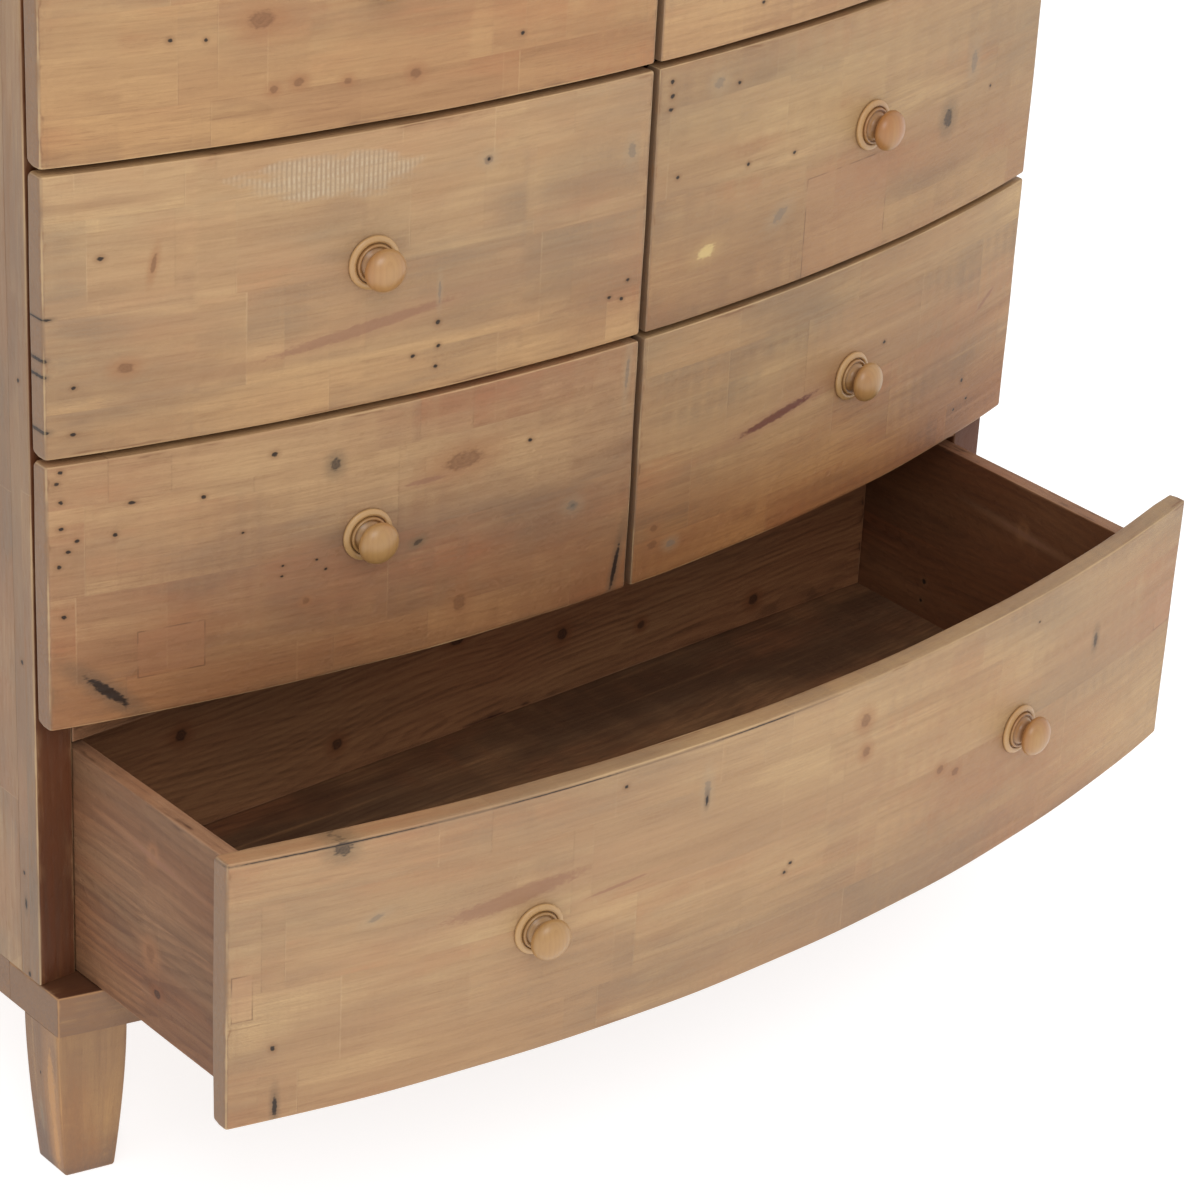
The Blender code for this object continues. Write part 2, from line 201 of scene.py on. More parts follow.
def board(name, low, high, grain, edge=(0.8 * MM, 2 * MM), step=8 * MM, bend=None, radius_of=None, joined=()):
    """A rounded board in the box from low to high, its grain along the axis named by grain.

    bend takes straight points to bent ones. radius_of takes points to radii where the edges differ. joined
    lists faces, such as "-x", that meet another board: there the board is made too long by the radius and
    its points are held back at the joint, which leaves that end sawn square.
    """
    low, high = np.array(low, float), np.array(high, float)
    grown = np.array([low, high])
    for face in joined:
        side = int(face[0] == "+")
        grown[side, AXES[face[1]]] += edge[1] if side else -edge[1]
    size = grown[1] - grown[0]
    points, faces = box_net(size, edge[1], step)
    radius = radius_of(points, size) if radius_of else rubbed(points, name, *edge)
    if joined:
        radius = edge[1]
    along = AXES[grain]
    spare = np.sort(np.minimum(points, size - points), axis=1)[:, 1]
    end = np.minimum(points[:, along], size[along] - points[:, along]) < END_REACH
    straight = (points + grown[0] - (low + high) / 2)[:, GRAIN_ORDER[grain]]
    shape = np.clip(rounded(points, size, radius) + grown[0], low, high)
    places = {"board": straight, "stock": straight + stock_place_of(name), "edge": spare, "end": end * 1.0}
    return solid(name, bend(shape) if bend else shape, faces.tolist(), places)


print("a board can have its grain along", *GRAIN_ORDER)

# %% [markdown]
# ## Nodes for the wood
#
# A material is a tree of nodes, and written out one by one they fill pages. These helpers add a node, set
# what it is given and link what comes from other nodes, so each wood reads as a short recipe.

# %% Node helpers
def put(tree, kind, inputs=(), **settings):
    """Adds a node. Inputs are numbers, colours or other nodes' sockets, by place or by name."""
    node = tree.nodes.new("ShaderNode" + kind)
    for name, value in settings.items():
        setattr(node, name, value)
    for key, value in inputs.items() if isinstance(inputs, dict) else enumerate(inputs):
        if isinstance(value, bpy.types.NodeSocket):
            tree.links.new(value, node.inputs[key])
        else:
            node.inputs[key].default_value = value
    return node


def maths(tree, operation, *values):
    return put(tree, "Math", values, operation=operation).outputs[0]


def times(tree, first, second):
    return maths(tree, "MULTIPLY", first, second)


def vectors(tree, operation, *values):
    node = put(tree, "VectorMath", values, operation=operation)
    return node.outputs["Value" if operation == "LENGTH" else "Vector"]


def scaled(tree, vector, factor):
    return put(tree, "VectorMath", {0: vector, "Scale": factor}, operation="SCALE").outputs[0]


def apart(tree, vector):
    """The X, Y and Z of a vector."""
    return put(tree, "SeparateXYZ", [vector]).outputs


def fade(tree, value, start, end):
    """A soft step: 0 where value is at start, 1 where it is at end."""
    return put(tree, "MapRange", (value, start, end), interpolation_type="SMOOTHSTEP").outputs[0]


print("nodes are put in place by", put.__name__)


# %% Colour helpers
def mix(tree, share, first, second, blend="MIX"):
    inputs = {0: share, 6: first, 7: second}
    return put(tree, "Mix", inputs, data_type="RGBA", blend_type=blend).outputs[2]


def lay(tree, colour, coat, cover, strength):
    """A coat of another colour over the first, as strong as cover times strength."""
    return mix(tree, times(tree, cover, strength), colour, coat)


def glaze(tree, colour, stain, cover):
    """A see-through tint, for stains and also for painted shade and painted light: the colour multiplied by
    the stain's own, as far as cover goes.
    """
    return mix(tree, cover, colour, mix(tree, 1.0, colour, stain, "MULTIPLY"))


def tone(red, green, blue):
    """A colour as a painter's 0 to 255 values, made linear as shaders want it."""
    parts = np.array([red, green, blue]) / 255
    linear = np.where(parts <= 0.04045, parts / 12.92, ((parts + 0.055) / 1.055) ** 2.4)
    return (*linear.tolist(), 1.0)


def recipe_of(**changes):
    """Part of a wood's recipe, in which a painter's three values stand for a colour."""
    return {label: tone(*value) if isinstance(value, tuple) else value for label, value in changes.items()}


print("a middle grey is", round(tone(128, 128, 128)[0], 3), "in the shader")


# %% Noise helpers
def noise(tree, place, stretch, detail=2.0, roughness=0.5, output="Fac"):
    """Noise whose cells are 1 / stretch metres long, in each direction of place."""
    vector = vectors(tree, "MULTIPLY", place, stretch)
    inputs = {"Vector": vector, "Scale": 1.0, "Detail": detail, "Roughness": roughness}
    return put(tree, "TexNoise", inputs).outputs[output]


def push(tree, place, stretch, detail, roughness):
    """A random push in each direction, of up to a half either way."""
    return vectors(tree, "SUBTRACT", noise(tree, place, stretch, detail, roughness, "Color"), (0.5, 0.5, 0.5))


# %% Group helpers
def new_group(name, vector_inputs, value_inputs=()):
    """A node group with named inputs, and the sockets that hand them out."""
    tree = bpy.data.node_groups.new(name, "ShaderNodeTree")
    for labels, kind in ((vector_inputs, "NodeSocketVector"), (value_inputs, "NodeSocketFloat")):
        for label in labels:
            tree.interface.new_socket(label, in_out="INPUT", socket_type=kind)
    return tree, tree.nodes.new("NodeGroupInput").outputs


def give_out(tree, **results):
    """Names what a group gives out. A name is written with _ for a space."""
    for label, socket in results.items():
        kind = "NodeSocketVector" if socket.type == "VECTOR" else "NodeSocketFloat"
        tree.interface.new_socket(label.replace("_", " "), in_out="OUTPUT", socket_type=kind)
    ends = tree.nodes.new("NodeGroupOutput").inputs
    for label, socket in results.items():
        tree.links.new(socket, ends[label.replace("_", " ")])
    print("group", tree.name, "gives", ", ".join(results))


def use(tree, group, **inputs):
    """Places a group in a tree. Input names are written with _ for a space."""
    inputs = {label.replace("_", " "): value for label, value in inputs.items()}
    return put(tree, "Group", inputs, node_tree=group).outputs

# %% [markdown]
# ## Staves
#
# The fronts and the case are glued up from strips about 8 cm wide, and each strip from shorter lengths butted
# end to end. Old boards differ, so each length has its own tone, and the butt joints show as faint upright
# lines. A Brick texture could lay them out, but its rows shift in step. Here a row's number and a length's
# number are the whole parts of two divisions, and each row is first shifted by its own random distance.

# %% The stave group
SEAM_WIDTH = 0.9 * MM
ROW_SHIFT = 2.0
STAVE_SHIFT = (1.9, 0.6, 0.3)
staves, given = new_group("staves", ["Board", "Stock"], ["Row", "Length"])
place = apart(staves, given["Board"])
origin = vectors(staves, "SUBTRACT", given["Stock"], given["Board"])
row_place = maths(staves, "DIVIDE", place["Y"], given["Row"])
row = maths(staves, "FLOOR", row_place)
row_luck = put(staves, "TexWhiteNoise", [origin, row], noise_dimensions="4D").outputs["Value"]
along = maths(staves, "ADD", place["X"], times(staves, row_luck, ROW_SHIFT))
length_place = maths(staves, "DIVIDE", along, given["Length"])
from_joint = times(staves, maths(staves, "PINGPONG", length_place, 0.5), given["Length"])
pair = put(staves, "CombineXYZ", [maths(staves, "FLOOR", length_place), row, 7.0]).outputs[0]
own = put(staves, "TexWhiteNoise", [vectors(staves, "ADD", pair, origin)], noise_dimensions="3D").outputs
luck = put(staves, "SeparateColor", [own["Color"]]).outputs
shift = vectors(staves, "MULTIPLY", own["Color"], STAVE_SHIFT)
print("staves are sawn from up to", max(STAVE_SHIFT), "m apart")

# %% The pith of each stave
row_middle = times(staves, maths(staves, "ADD", row, 0.5), given["Row"])
pith_aside = maths(staves, "MULTIPLY_ADD", luck[2], 0.09, -0.045)
pith_behind = maths(staves, "MULTIPLY_ADD", luck[0], 0.05, 0.018)
across = maths(staves, "ADD", maths(staves, "SUBTRACT", place["Y"], row_middle), pith_aside)
trunk = put(staves, "CombineXYZ", [place["X"], across, maths(staves, "ADD", place["Z"], pith_behind)])
give_out(
    staves,
    Tone=luck[0],
    Second_Tone=luck[1],
    Seam=fade(staves, from_joint, SEAM_WIDTH, 0.3 * SEAM_WIDTH),
    Figure=vectors(staves, "ADD", given["Stock"], shift),
    Trunk=trunk.outputs[0],
)

# %% [markdown]
# ## Growth rings and fibres
#
# A board is a slice of a trunk. The rings are cylinders round the pith, so the dark late wood comes at even
# steps of the distance from the pith: straight lines where the slice is far from it, arches where the pith
# wanders near the face, arcs on the end grain. A Wave texture gives rings too, but its pith is a straight
# line that can't wander. Fine fibres, broader streaks and soft patches are noises drawn out along the grain.

# %% Rings
grain, given = new_group("pine grain", ["Figure", "Stock", "Trunk"], ["Ring", "Wander"])
sway = vectors(grain, "MULTIPLY", push(grain, given["Figure"], (1.6, 4.0, 4.0), 2.0, 0.45), (0.0, 2.0, 2.0))
ruffle = noise(grain, given["Figure"], (9.0, 40.0, 40.0), 2.0, 0.5)
trunk = vectors(grain, "ADD", given["Trunk"], scaled(grain, sway, given["Wander"]))
from_pith = vectors(grain, "LENGTH", vectors(grain, "MULTIPLY", trunk, (0.0, 1.0, 1.0)))
years = maths(grain, "ADD", maths(grain, "DIVIDE", from_pith, given["Ring"]), times(grain, ruffle, 0.9))
season = maths(grain, "FRACT", years)
late_wood = times(grain, fade(grain, season, 0.25, 0.9), fade(grain, season, 1.0, 0.93))
print("late wood darkens over the last", 1 - 0.25, "of a ring")

# %% Fibres, flecks, streaks and patches
# How much of a stave's own shift the broad patches take: little, because one coat of stain went over all.
STAVE_SHARE = 0.1
blend = {0: STAVE_SHARE, 4: given["Stock"], 5: given["Figure"]}
nearly_whole = put(grain, "Mix", blend, data_type="VECTOR").outputs[1]
flecks = noise(grain, given["Figure"], (24.0, 400.0, 400.0), 4.0, 0.8)
patches = noise(grain, nearly_whole, (4.2, 13.0, 13.0), 4.0, 0.55, "Color")
patch_parts = put(grain, "SeparateColor", [patches]).outputs
give_out(
    grain,
    Rings=late_wood,
    Fibre=noise(grain, given["Figure"], (16.0, 560.0, 560.0), 3.0, 0.7),
    Fleck=fade(grain, flecks, 0.53, 0.66),
    Streak=noise(grain, given["Figure"], (3.5, 95.0, 95.0), 4.0, 0.62),
    Warm=fade(grain, patch_parts[0], 0.45, 0.66),
    Cool=fade(grain, patch_parts[1], 0.45, 0.68),
    Pale=fade(grain, patch_parts[2], 0.47, 0.70),
)

# %% [markdown]
# ## Marks
#
# Nail holes, knots, resin streaks, gouges and dabs of filler are all blots with a place, a size, a turn and a
# more or less ragged outline. They could be painted on an image, but that would need unwrapped boards. One
# group makes such a blot from an ellipse whose edge a little noise pushes in and out. It also gives a soft
# halo, for the iron stain round a nail, and rings for a knot.

# %% The mark group
mark, given = new_group("mark", ["Board", "Centre", "Size", "Jag"], ["Turn", "Ragged"])
local = vectors(mark, "SUBTRACT", given["Board"], given["Centre"])
turned = put(mark, "VectorRotate", {"Vector": local, "Angle": given["Turn"]}, rotation_type="Z_AXIS")
flat = vectors(mark, "DIVIDE", turned.outputs[0], given["Size"])
flat = vectors(mark, "MULTIPLY", flat, (2.0, 2.0, 0.0))
reach = vectors(mark, "LENGTH", vectors(mark, "ADD", flat, scaled(mark, given["Jag"], given["Ragged"])))
give_out(
    mark,
    Blot=fade(mark, reach, 1.15, 0.7),
    Halo=fade(mark, reach, 3.2, 0.8),
    Rings=maths(mark, "FRACT", times(mark, reach, 2.6)),
)

# %% [markdown]
# ## Scattered knots
#
# Ordinary knots need no list. A Voronoi texture drops one point into each cell of a grid drawn out along the
# grain, and the distance to that point, turned back into metres, makes the knot. Its cell's random colour
# says how big it is and whether there is one at all.

# %% The scattered knots group
KNOT_GRID = (3.1, 8.3, 2.0)
KNOT_JAG = (0.008, 0.006, 0.0)
scattered, given = new_group("scattered knots", ["Figure"], ["Share"])
gridded = vectors(scattered, "MULTIPLY", given["Figure"], KNOT_GRID)
inputs = {"Vector": gridded, "Scale": 1.0, "Randomness": 0.8}
cells = put(scattered, "TexVoronoi", inputs, voronoi_dimensions="3D").outputs
offset = vectors(scattered, "SUBTRACT", gridded, cells["Position"])
offset = vectors(scattered, "DIVIDE", offset, KNOT_GRID)
jag = push(scattered, given["Figure"], (90.0, 90.0, 90.0), 2.0, 0.5)
jag = vectors(scattered, "MULTIPLY", jag, KNOT_JAG)
offset = vectors(scattered, "ADD", vectors(scattered, "MULTIPLY", offset, (0.75, 1.0, 0.0)), jag)
luck = put(scattered, "SeparateColor", [cells["Color"]]).outputs
size = maths(scattered, "MULTIPLY_ADD", luck[0], 0.006, 0.003)
there = maths(scattered, "LESS_THAN", luck[1], given["Share"])
reach = maths(scattered, "DIVIDE", vectors(scattered, "LENGTH", offset), size)
give_out(
    scattered,
    Knot=times(scattered, there, fade(scattered, reach, 1.1, 0.8)),
    Rings=maths(scattered, "PINGPONG", times(scattered, reach, 1.6), 0.5),
    Halo=times(scattered, there, fade(scattered, reach, 3.5, 0.9)),
)

# %% [markdown]
# ## Let-in patches
#
# Where a lock or a hinge had been, the maker let in a rectangle of sound wood. A second thin board could be
# laid in, but the joint is flush, so a drawn outline is enough. It is where the larger of the two distances
# beyond the half sides is zero.

# %% The patch group
patch, given = new_group("let-in patch", ["Board", "Centre", "Size"])
local = vectors(patch, "ABSOLUTE", vectors(patch, "SUBTRACT", given["Board"], given["Centre"]))
beyond = apart(patch, vectors(patch, "SUBTRACT", local, scaled(patch, given["Size"], 0.5)))
distance = maths(patch, "MAXIMUM", beyond["X"], beyond["Y"])
missing = noise(patch, given["Board"], (30.0, 30.0, 30.0), 2.0, 0.5)
outline = fade(patch, maths(patch, "ABSOLUTE", distance), 0.8 * MM, 0.2 * MM)
give_out(
    patch,
    Outline=times(patch, outline, fade(patch, missing, 0.4, 0.55)),
    Inside=fade(patch, distance, 0.3 * MM, -0.3 * MM),
)

# %% [markdown]
# ## Rubbed edges
#
# Where a cloth and hands pass, the stain goes first from the edges, which show pale, almost orange wood.
# The Pointiness of a dense mesh could find the edges, but here each point of a board already knows its
# distance to the nearest one. The group fades that distance out over a width that noise makes uneven, and
# in stretches. Dirt gathers in a thin broken line just inside the rubbed part, with a soft smudge round it.

# %% The edge group
edges, given = new_group("rubbed edges", ["Stock"], ["Edge", "Width"])
uneven = noise(edges, given["Stock"], (22.0, 60.0, 60.0), 3.0, 0.6)
uneven = maths(edges, "MULTIPLY_ADD", uneven, 2.4, -0.5)
width = times(edges, given["Width"], maths(edges, "MAXIMUM", uneven, 0.15))
stretches = fade(edges, noise(edges, given["Stock"], (5.0, 14.0, 14.0), 2.0, 0.6), 0.4, 0.62)
stretches = maths(edges, "MULTIPLY_ADD", stretches, 0.88, 0.12)
inward = maths(edges, "DIVIDE", given["Edge"], width)
beside = maths(edges, "ABSOLUTE", maths(edges, "SUBTRACT", inward, 1.3))
smudge = times(edges, fade(edges, beside, 4.5, 0.5), 0.45)
dirt = maths(edges, "ADD", fade(edges, beside, 0.6, 0.1), smudge)
broken = fade(edges, noise(edges, given["Stock"], (13.0, 40.0, 40.0), 3.0, 0.65), 0.5, 0.68)
give_out(
    edges,
    Bare=times(edges, fade(edges, inward, 1.0, 0.0), stretches),
    Grime=times(edges, dirt, broken),
)

# %% [markdown]
# ## One recipe for every pine board
#
# The honey fronts, the brown drawer boxes and the greyed base are the same wood with other stains, so one
# function makes them all from a palette. It lays the colours from broad to fine: the stain of each stave,
# warm, grey-green and pale patches, streaks, rings, fibres, then seams, patches, saw marks, painted shade low
# down, knots, stains with painted shade and painted light, end grain, marks and rubbed edges. Relief follows
# the same masks, because late wood stands proud and nail holes are sunk.

# %% Kinds of marks
# Each kind has its colour, its halo's colour and strength, its raggedness, its depth, and its usual size.
MARK_KINDS = {
    "nail": (tone(24, 12, 6), tone(122, 86, 56), 0.45, 1.5, 1.2, (3.9, 3.2)),
    "knot": (tone(108, 70, 44), tone(150, 102, 66), 0.5, 1.3, 0.2, (11, 9)),
    "pin knot": (tone(46, 26, 16), tone(120, 72, 42), 0.6, 0.8, 0.3, (12, 12)),
    "blue": (tone(54, 42, 34), tone(116, 96, 72), 0.55, 1.9, 0.5, (11, 12)),
    "resin": (tone(136, 94, 72), tone(162, 120, 88), 0.3, 1.2, 0.2, (90, 6)),
    "gouge": (tone(34, 23, 17), tone(104, 82, 62), 0.55, 1.6, 1.4, (40, 7)),
    "pitch": (tone(104, 58, 44), tone(150, 104, 78), 0.35, 1.3, 0.2, (90, 6)),
    "smudge": (tone(104, 84, 72), tone(112, 90, 76), 0.3, 1.8, 0.0, (40, 20)),
    "honey": (tone(188, 138, 84), tone(180, 132, 84), 0.3, 1.8, 0.0, (60, 14)),
    "filler": (tone(202, 174, 118), tone(190, 156, 106), 0.3, 1.8, 0.0, (14, 8)),
    "bruise": (tone(118, 104, 90), tone(160, 140, 112), 0.3, 1.9, 0.4, (10, 4)),
}
RINGED = ("knot", "pin knot", "blue")
THIN = ("resin", "bruise", "smudge", "honey")
THIN_SHARE = 0.62
SUNK_FROM = 0.5
print(len(MARK_KINDS), "kinds of marks")


# %% Marks on a board
def blot_at(tree, board_place, jag, ragged, x, up, length, width, turn):
    """One mark, in millimetres from the middle of the board and in degrees."""
    return use(
        tree,
        mark,
        Board=board_place,
        Centre=(x * MM, up * MM, 0.0),
        Turn=-math.radians(turn),
        Size=(length * MM, width * MM, 1.0),
        Jag=jag,
        Ragged=ragged,
    )


def add_marks(tree, board_place, colour, marks):
    """Blots over the colour, each (kind, along, up) in millimetres, and a length, width and turn if given."""
    height = None
    jag = push(tree, board_place, (190.0, 420.0, 420.0), 3.0, 0.7)
    for kind, x, up, *rest in marks:
        blot_colour, halo_colour, halo_share, ragged, depth, usual = MARK_KINDS[kind]
        length, width = rest[:2] or usual
        turn = rest[2] if len(rest) > 2 else 0
        blot = blot_at(tree, board_place, jag, ragged, x, up, length, width, turn)
        colour = lay(tree, colour, halo_colour, blot["Halo"], halo_share)
        share = times(tree, blot["Blot"], 0.7 if kind == "knot" else 0.92)
        if kind in RINGED:
            share = times(tree, share, maths(tree, "MULTIPLY_ADD", blot["Rings"], 0.45, 0.55))
        if kind in THIN:
            share = times(tree, share, THIN_SHARE)
        colour = mix(tree, share, colour, blot_colour)
        if depth >= SUNK_FROM:
            hollow = times(tree, blot["Blot"], -depth)
            height = hollow if height is None else maths(tree, "ADD", height, hollow)
    return colour, height


def add_patches(tree, board_place, colour, patches):
    """Rectangles (along, up, length, height) in millimetres, a little redder inside, with a dark outline."""
    for x, up, length, height in patches:
        size = (length * MM, height * MM, 1.0)
        inlay = use(tree, patch, Board=board_place, Centre=(x * MM, up * MM, 0.0), Size=size)
        colour = lay(tree, colour, tone(186, 140, 104), inlay["Inside"], 0.25)
        colour = lay(tree, colour, tone(104, 76, 54), inlay["Outline"], 0.6)
    return colour


print(len(RINGED), "kinds of marks have rings, and", len(THIN), "are thin")


# %% Saw marks
SAW_TURNS = 2 * math.pi / (4 * MM)
SAW_LEAN = -3


def add_saw_marks(tree, board_place, colour, places):
    """Pale upright lines 4 mm apart that a coarse saw left in a hollow, at (along, up, length, height)."""
    for place in places:
        jag = push(tree, board_place, (30.0, 90.0, 90.0), 3.0, 0.6)
        hollow = blot_at(tree, board_place, jag, 1.4, *place, SAW_LEAN)["Blot"]
        wobble = times(tree, noise(tree, board_place, (40.0, 60.0, 60.0)), 2.2)
        strokes = times(tree, apart(tree, board_place)["X"], SAW_TURNS)
        waves = maths(tree, "SINE", maths(tree, "ADD", strokes, wobble))
        broken = fade(tree, noise(tree, board_place, (60.0, 210.0, 210.0), 3.0, 0.7), 0.38, 0.6)
        crests = times(tree, fade(tree, waves, 0.0, 0.9), times(tree, hollow, broken))
        troughs = times(tree, fade(tree, waves, -0.1, -0.9), hollow)
        colour = lay(tree, colour, tone(174, 154, 128), hollow, 0.45)
        colour = lay(tree, colour, tone(202, 186, 160), crests, 0.36)
        colour = lay(tree, colour, tone(130, 104, 80), troughs, 0.4)
    return colour


print("saw strokes", round(2 * math.pi / SAW_TURNS / MM, 1), "mm apart")


# %% The pine recipe
PINE = recipe_of(
    base=(184, 148, 107),
    other=(174, 138, 101),
    warm=(178, 124, 86),
    cool=(140, 118, 94),
    pale=(204, 170, 122),
    ring=(134, 98, 67),
    knot=(118, 76, 52),
    bare=(218, 184, 136),
    end=(112, 94, 80),
    shade=(255, 255, 255),
    row=0.076,
    length=0.26,
    ring_width=0.0055,
    wander=0.03,
    ring_share=0.22,
    fibre_share=0.5,
    fleck_share=0.46,
    streak_share=0.5,
    patch_share=1.0,
    seam_share=0.4,
    bare_width=0.0024,
    bare_share=0.45,
    grime_share=0.75,
    knot_share=0.06,
    roughness=0.5,
)
print(len(PINE), "entries in the recipe")


# %% Layers of the wood itself
def stored(tree, label):
    """What a piece's points keep under a label: a place for board and stock, a number for the others."""
    output = "Vector" if label in ("board", "stock") else "Fac"
    return put(tree, "Attribute", attribute_name=label).outputs[output]


def wood_layers(tree, board_place, stock_place, recipe):
    """The colour of the wood from broad to fine, and the staves and the figure that it follows."""
    sizes = {"Row": recipe["row"], "Length": recipe["length"]}
    strips = use(tree, staves, Board=board_place, Stock=stock_place, **sizes)
    sizes = {"Ring": recipe["ring_width"], "Wander": recipe["wander"]}
    figure = use(tree, grain, Figure=strips["Figure"], Stock=stock_place, Trunk=strips["Trunk"], **sizes)
    streak = figure["Streak"]
    colour = mix(tree, fade(tree, strips["Tone"], 0.3, 0.9), recipe["base"], recipe["other"])
    for label in ("warm", "cool", "pale"):
        colour = lay(tree, colour, recipe[label], figure[label.title()], recipe["patch_share"])
    colour = lay(tree, colour, recipe["ring"], fade(tree, streak, 0.48, 0.75), recipe["streak_share"])
    colour = lay(tree, colour, recipe["pale"], fade(tree, streak, 0.46, 0.25), recipe["streak_share"])
    strong = maths(tree, "MULTIPLY_ADD", fade(tree, streak, 0.36, 0.6), 0.65, 0.35)
    colour = lay(tree, colour, recipe["ring"], times(tree, figure["Rings"], strong), recipe["ring_share"])
    colour = lay(tree, colour, recipe["ring"], fade(tree, figure["Fibre"], 0.45, 0.8), recipe["fibre_share"])
    colour = lay(tree, colour, recipe["ring"], figure["Fleck"], recipe["fleck_share"])
    seam_side = fade(tree, strips["Second Tone"], 0.45, 0.55)
    seam_tone = mix(tree, seam_side, tone(222, 192, 146), tone(110, 84, 60))
    return lay(tree, colour, seam_tone, strips["Seam"], recipe["seam_share"]), strips, figure


def add_knots(tree, colour, strips, recipe):
    """Scattered knots: a warm halo, and a heart that darkens in rings."""
    knots = use(tree, scattered, Figure=strips["Figure"], Share=recipe["knot_share"])
    colour = lay(tree, colour, recipe["warm"], knots["Halo"], 0.3)
    heart = maths(tree, "MULTIPLY_ADD", knots["Rings"], 0.8, 0.45)
    return lay(tree, colour, recipe["knot"], knots["Knot"], heart)


print("layers by", wood_layers.__name__, "and", add_knots.__name__)


# %% Stains, painted shade and painted light
BACK_AXIS = "Y"


def looks_along(tree, axis):
    """1 on faces that look along an axis of the room, 0 on others, from that part of the surface's normal."""
    return fade(tree, apart(tree, put(tree, "NewGeometry").outputs["Normal"])[axis], 0.45, 0.85)


def add_stains(tree, board_place, colour, face_stain_and_shade, top_stain_and_light):
    """The inner stain on all but one face and the back, painted shade too inside a drawer box, and a tint on
    what looks up: a stain on the base ledge, painted light on the tops of the drawer sides.
    """
    if face_stain_and_shade:
        stain, axis, face = face_stain_and_shade
        inside = fade(tree, apart(tree, board_place)[axis], face, face - math.copysign(1.5 * MM, face))
        bare_sides = looks_along(tree, BACK_AXIS)
        if top_stain_and_light:
            bare_sides = maths(tree, "MAXIMUM", bare_sides, looks_along(tree, "Z"))
        inside = times(tree, inside, maths(tree, "SUBTRACT", 1.0, bare_sides))
        colour = glaze(tree, colour, stain, inside)
    if top_stain_and_light:
        colour = glaze(tree, colour, top_stain_and_light, looks_along(tree, "Z"))
    return colour


print("the inner stain spares faces along", BACK_AXIS)


# %% The pine material
# The colour of the painted shade low on the boards: darker, and redder as if lit by light bounced from the
# open drawer.
LOW_SHADE_TONE = tone(220, 176, 142)


def finish_wood(material, colour, rough, relief):
    """Links colour, roughness and relief, which is (strength, distance in metres, height), to the shader."""
    tree, shader = material.node_tree, material.node_tree.nodes["Principled BSDF"]
    bump = put(tree, "Bump", dict(zip(("Strength", "Distance", "Height"), relief))).outputs[0]
    for label, socket in (("Base Color", colour), ("Roughness", rough), ("Normal", bump)):
        tree.links.new(socket, shader.inputs[label])
    return shader


def new_material(name):
    material = bpy.data.materials.new(name)
    material.use_nodes = True
    return material, material.node_tree


def pine(name, marks=(), face_stain_and_shade=None, patches=(), saw_marks=(), low_painted_shade=0.0, top_stain_and_light=None, **changes):
    """A pine material. changes alter the recipe.

    The face stain is (stain, axis of the board, place of one face): it covers all but that face and the back;
    inside a drawer box it is painted shade as well as stain. The low shade is painted shade: how much darker
    and redder the lower quarter of the board is, with reddish light bounced from the open drawer painted in.
    The top tint, a colour, tints the faces that look up, which then have no face stain: a stain on the base
    ledge, and painted light on the tops of the drawer sides.
    """
    recipe = PINE | changes
    material, tree = new_material(name)
    board_place, stock_place, edge, end = (stored(tree, label) for label in ("board", "stock", "edge", "end"))
    colour, strips, figure = wood_layers(tree, board_place, stock_place, recipe)
    colour = add_patches(tree, board_place, colour, patches)
    colour = add_saw_marks(tree, board_place, colour, saw_marks)
    # Painted shade, with painted reddish bounced light, on the lower part of the board.
    if low_painted_shade:
        low_down = times(tree, fade(tree, apart(tree, board_place)["Y"], 0.02, -0.11), low_painted_shade)
        colour = glaze(tree, colour, LOW_SHADE_TONE, low_down)
    colour = add_knots(tree, colour, strips, recipe)
    colour = mix(tree, 1.0, colour, recipe["shade"], "MULTIPLY")
    colour = add_stains(tree, board_place, colour, face_stain_and_shade, top_stain_and_light)
    end_tone = mix(tree, fade(tree, figure["Fibre"], 0.3, 0.7), recipe["end"], recipe["ring"])
    colour = lay(tree, colour, end_tone, end, 0.85)
    colour, sunk = add_marks(tree, board_place, colour, marks)
    rub = use(tree, edges, Edge=edge, Stock=stock_place, Width=recipe["bare_width"])
    colour = lay(tree, colour, recipe["ring"], rub["Grime"], recipe["grime_share"])
    colour = lay(tree, colour, recipe["bare"], rub["Bare"], recipe["bare_share"])
    rough = maths(tree, "MULTIPLY_ADD", figure["Streak"], 0.25, recipe["roughness"] - 0.12)
    height = maths(tree, "MULTIPLY_ADD", figure["Fibre"], 0.25, times(tree, figure["Rings"], 0.2))
    height = maths(tree, "SUBTRACT", height, times(tree, strips["Seam"], 0.3))
    if sunk is not None:
        height = maths(tree, "ADD", height, sunk)
    shader = finish_wood(material, colour, rough, (0.35, 0.0006, height))
    shader.inputs["Specular IOR Level"].default_value = 0.35
    return material


print("low parts are glazed with", [round(value, 2) for value in LOW_SHADE_TONE[:3]])

# %% [markdown]
# ## The drawer fronts
#
# Seven curved fronts close the chest. Each is a 19 mm board bent to the arc. Their edges are eased by hand:
# 2 or 3 mm in front, and much more on the lower back edge, where the drawer is pushed home. Straight rows of
# nail holes are left from the boards' first life, and a few knots and stains stand out.

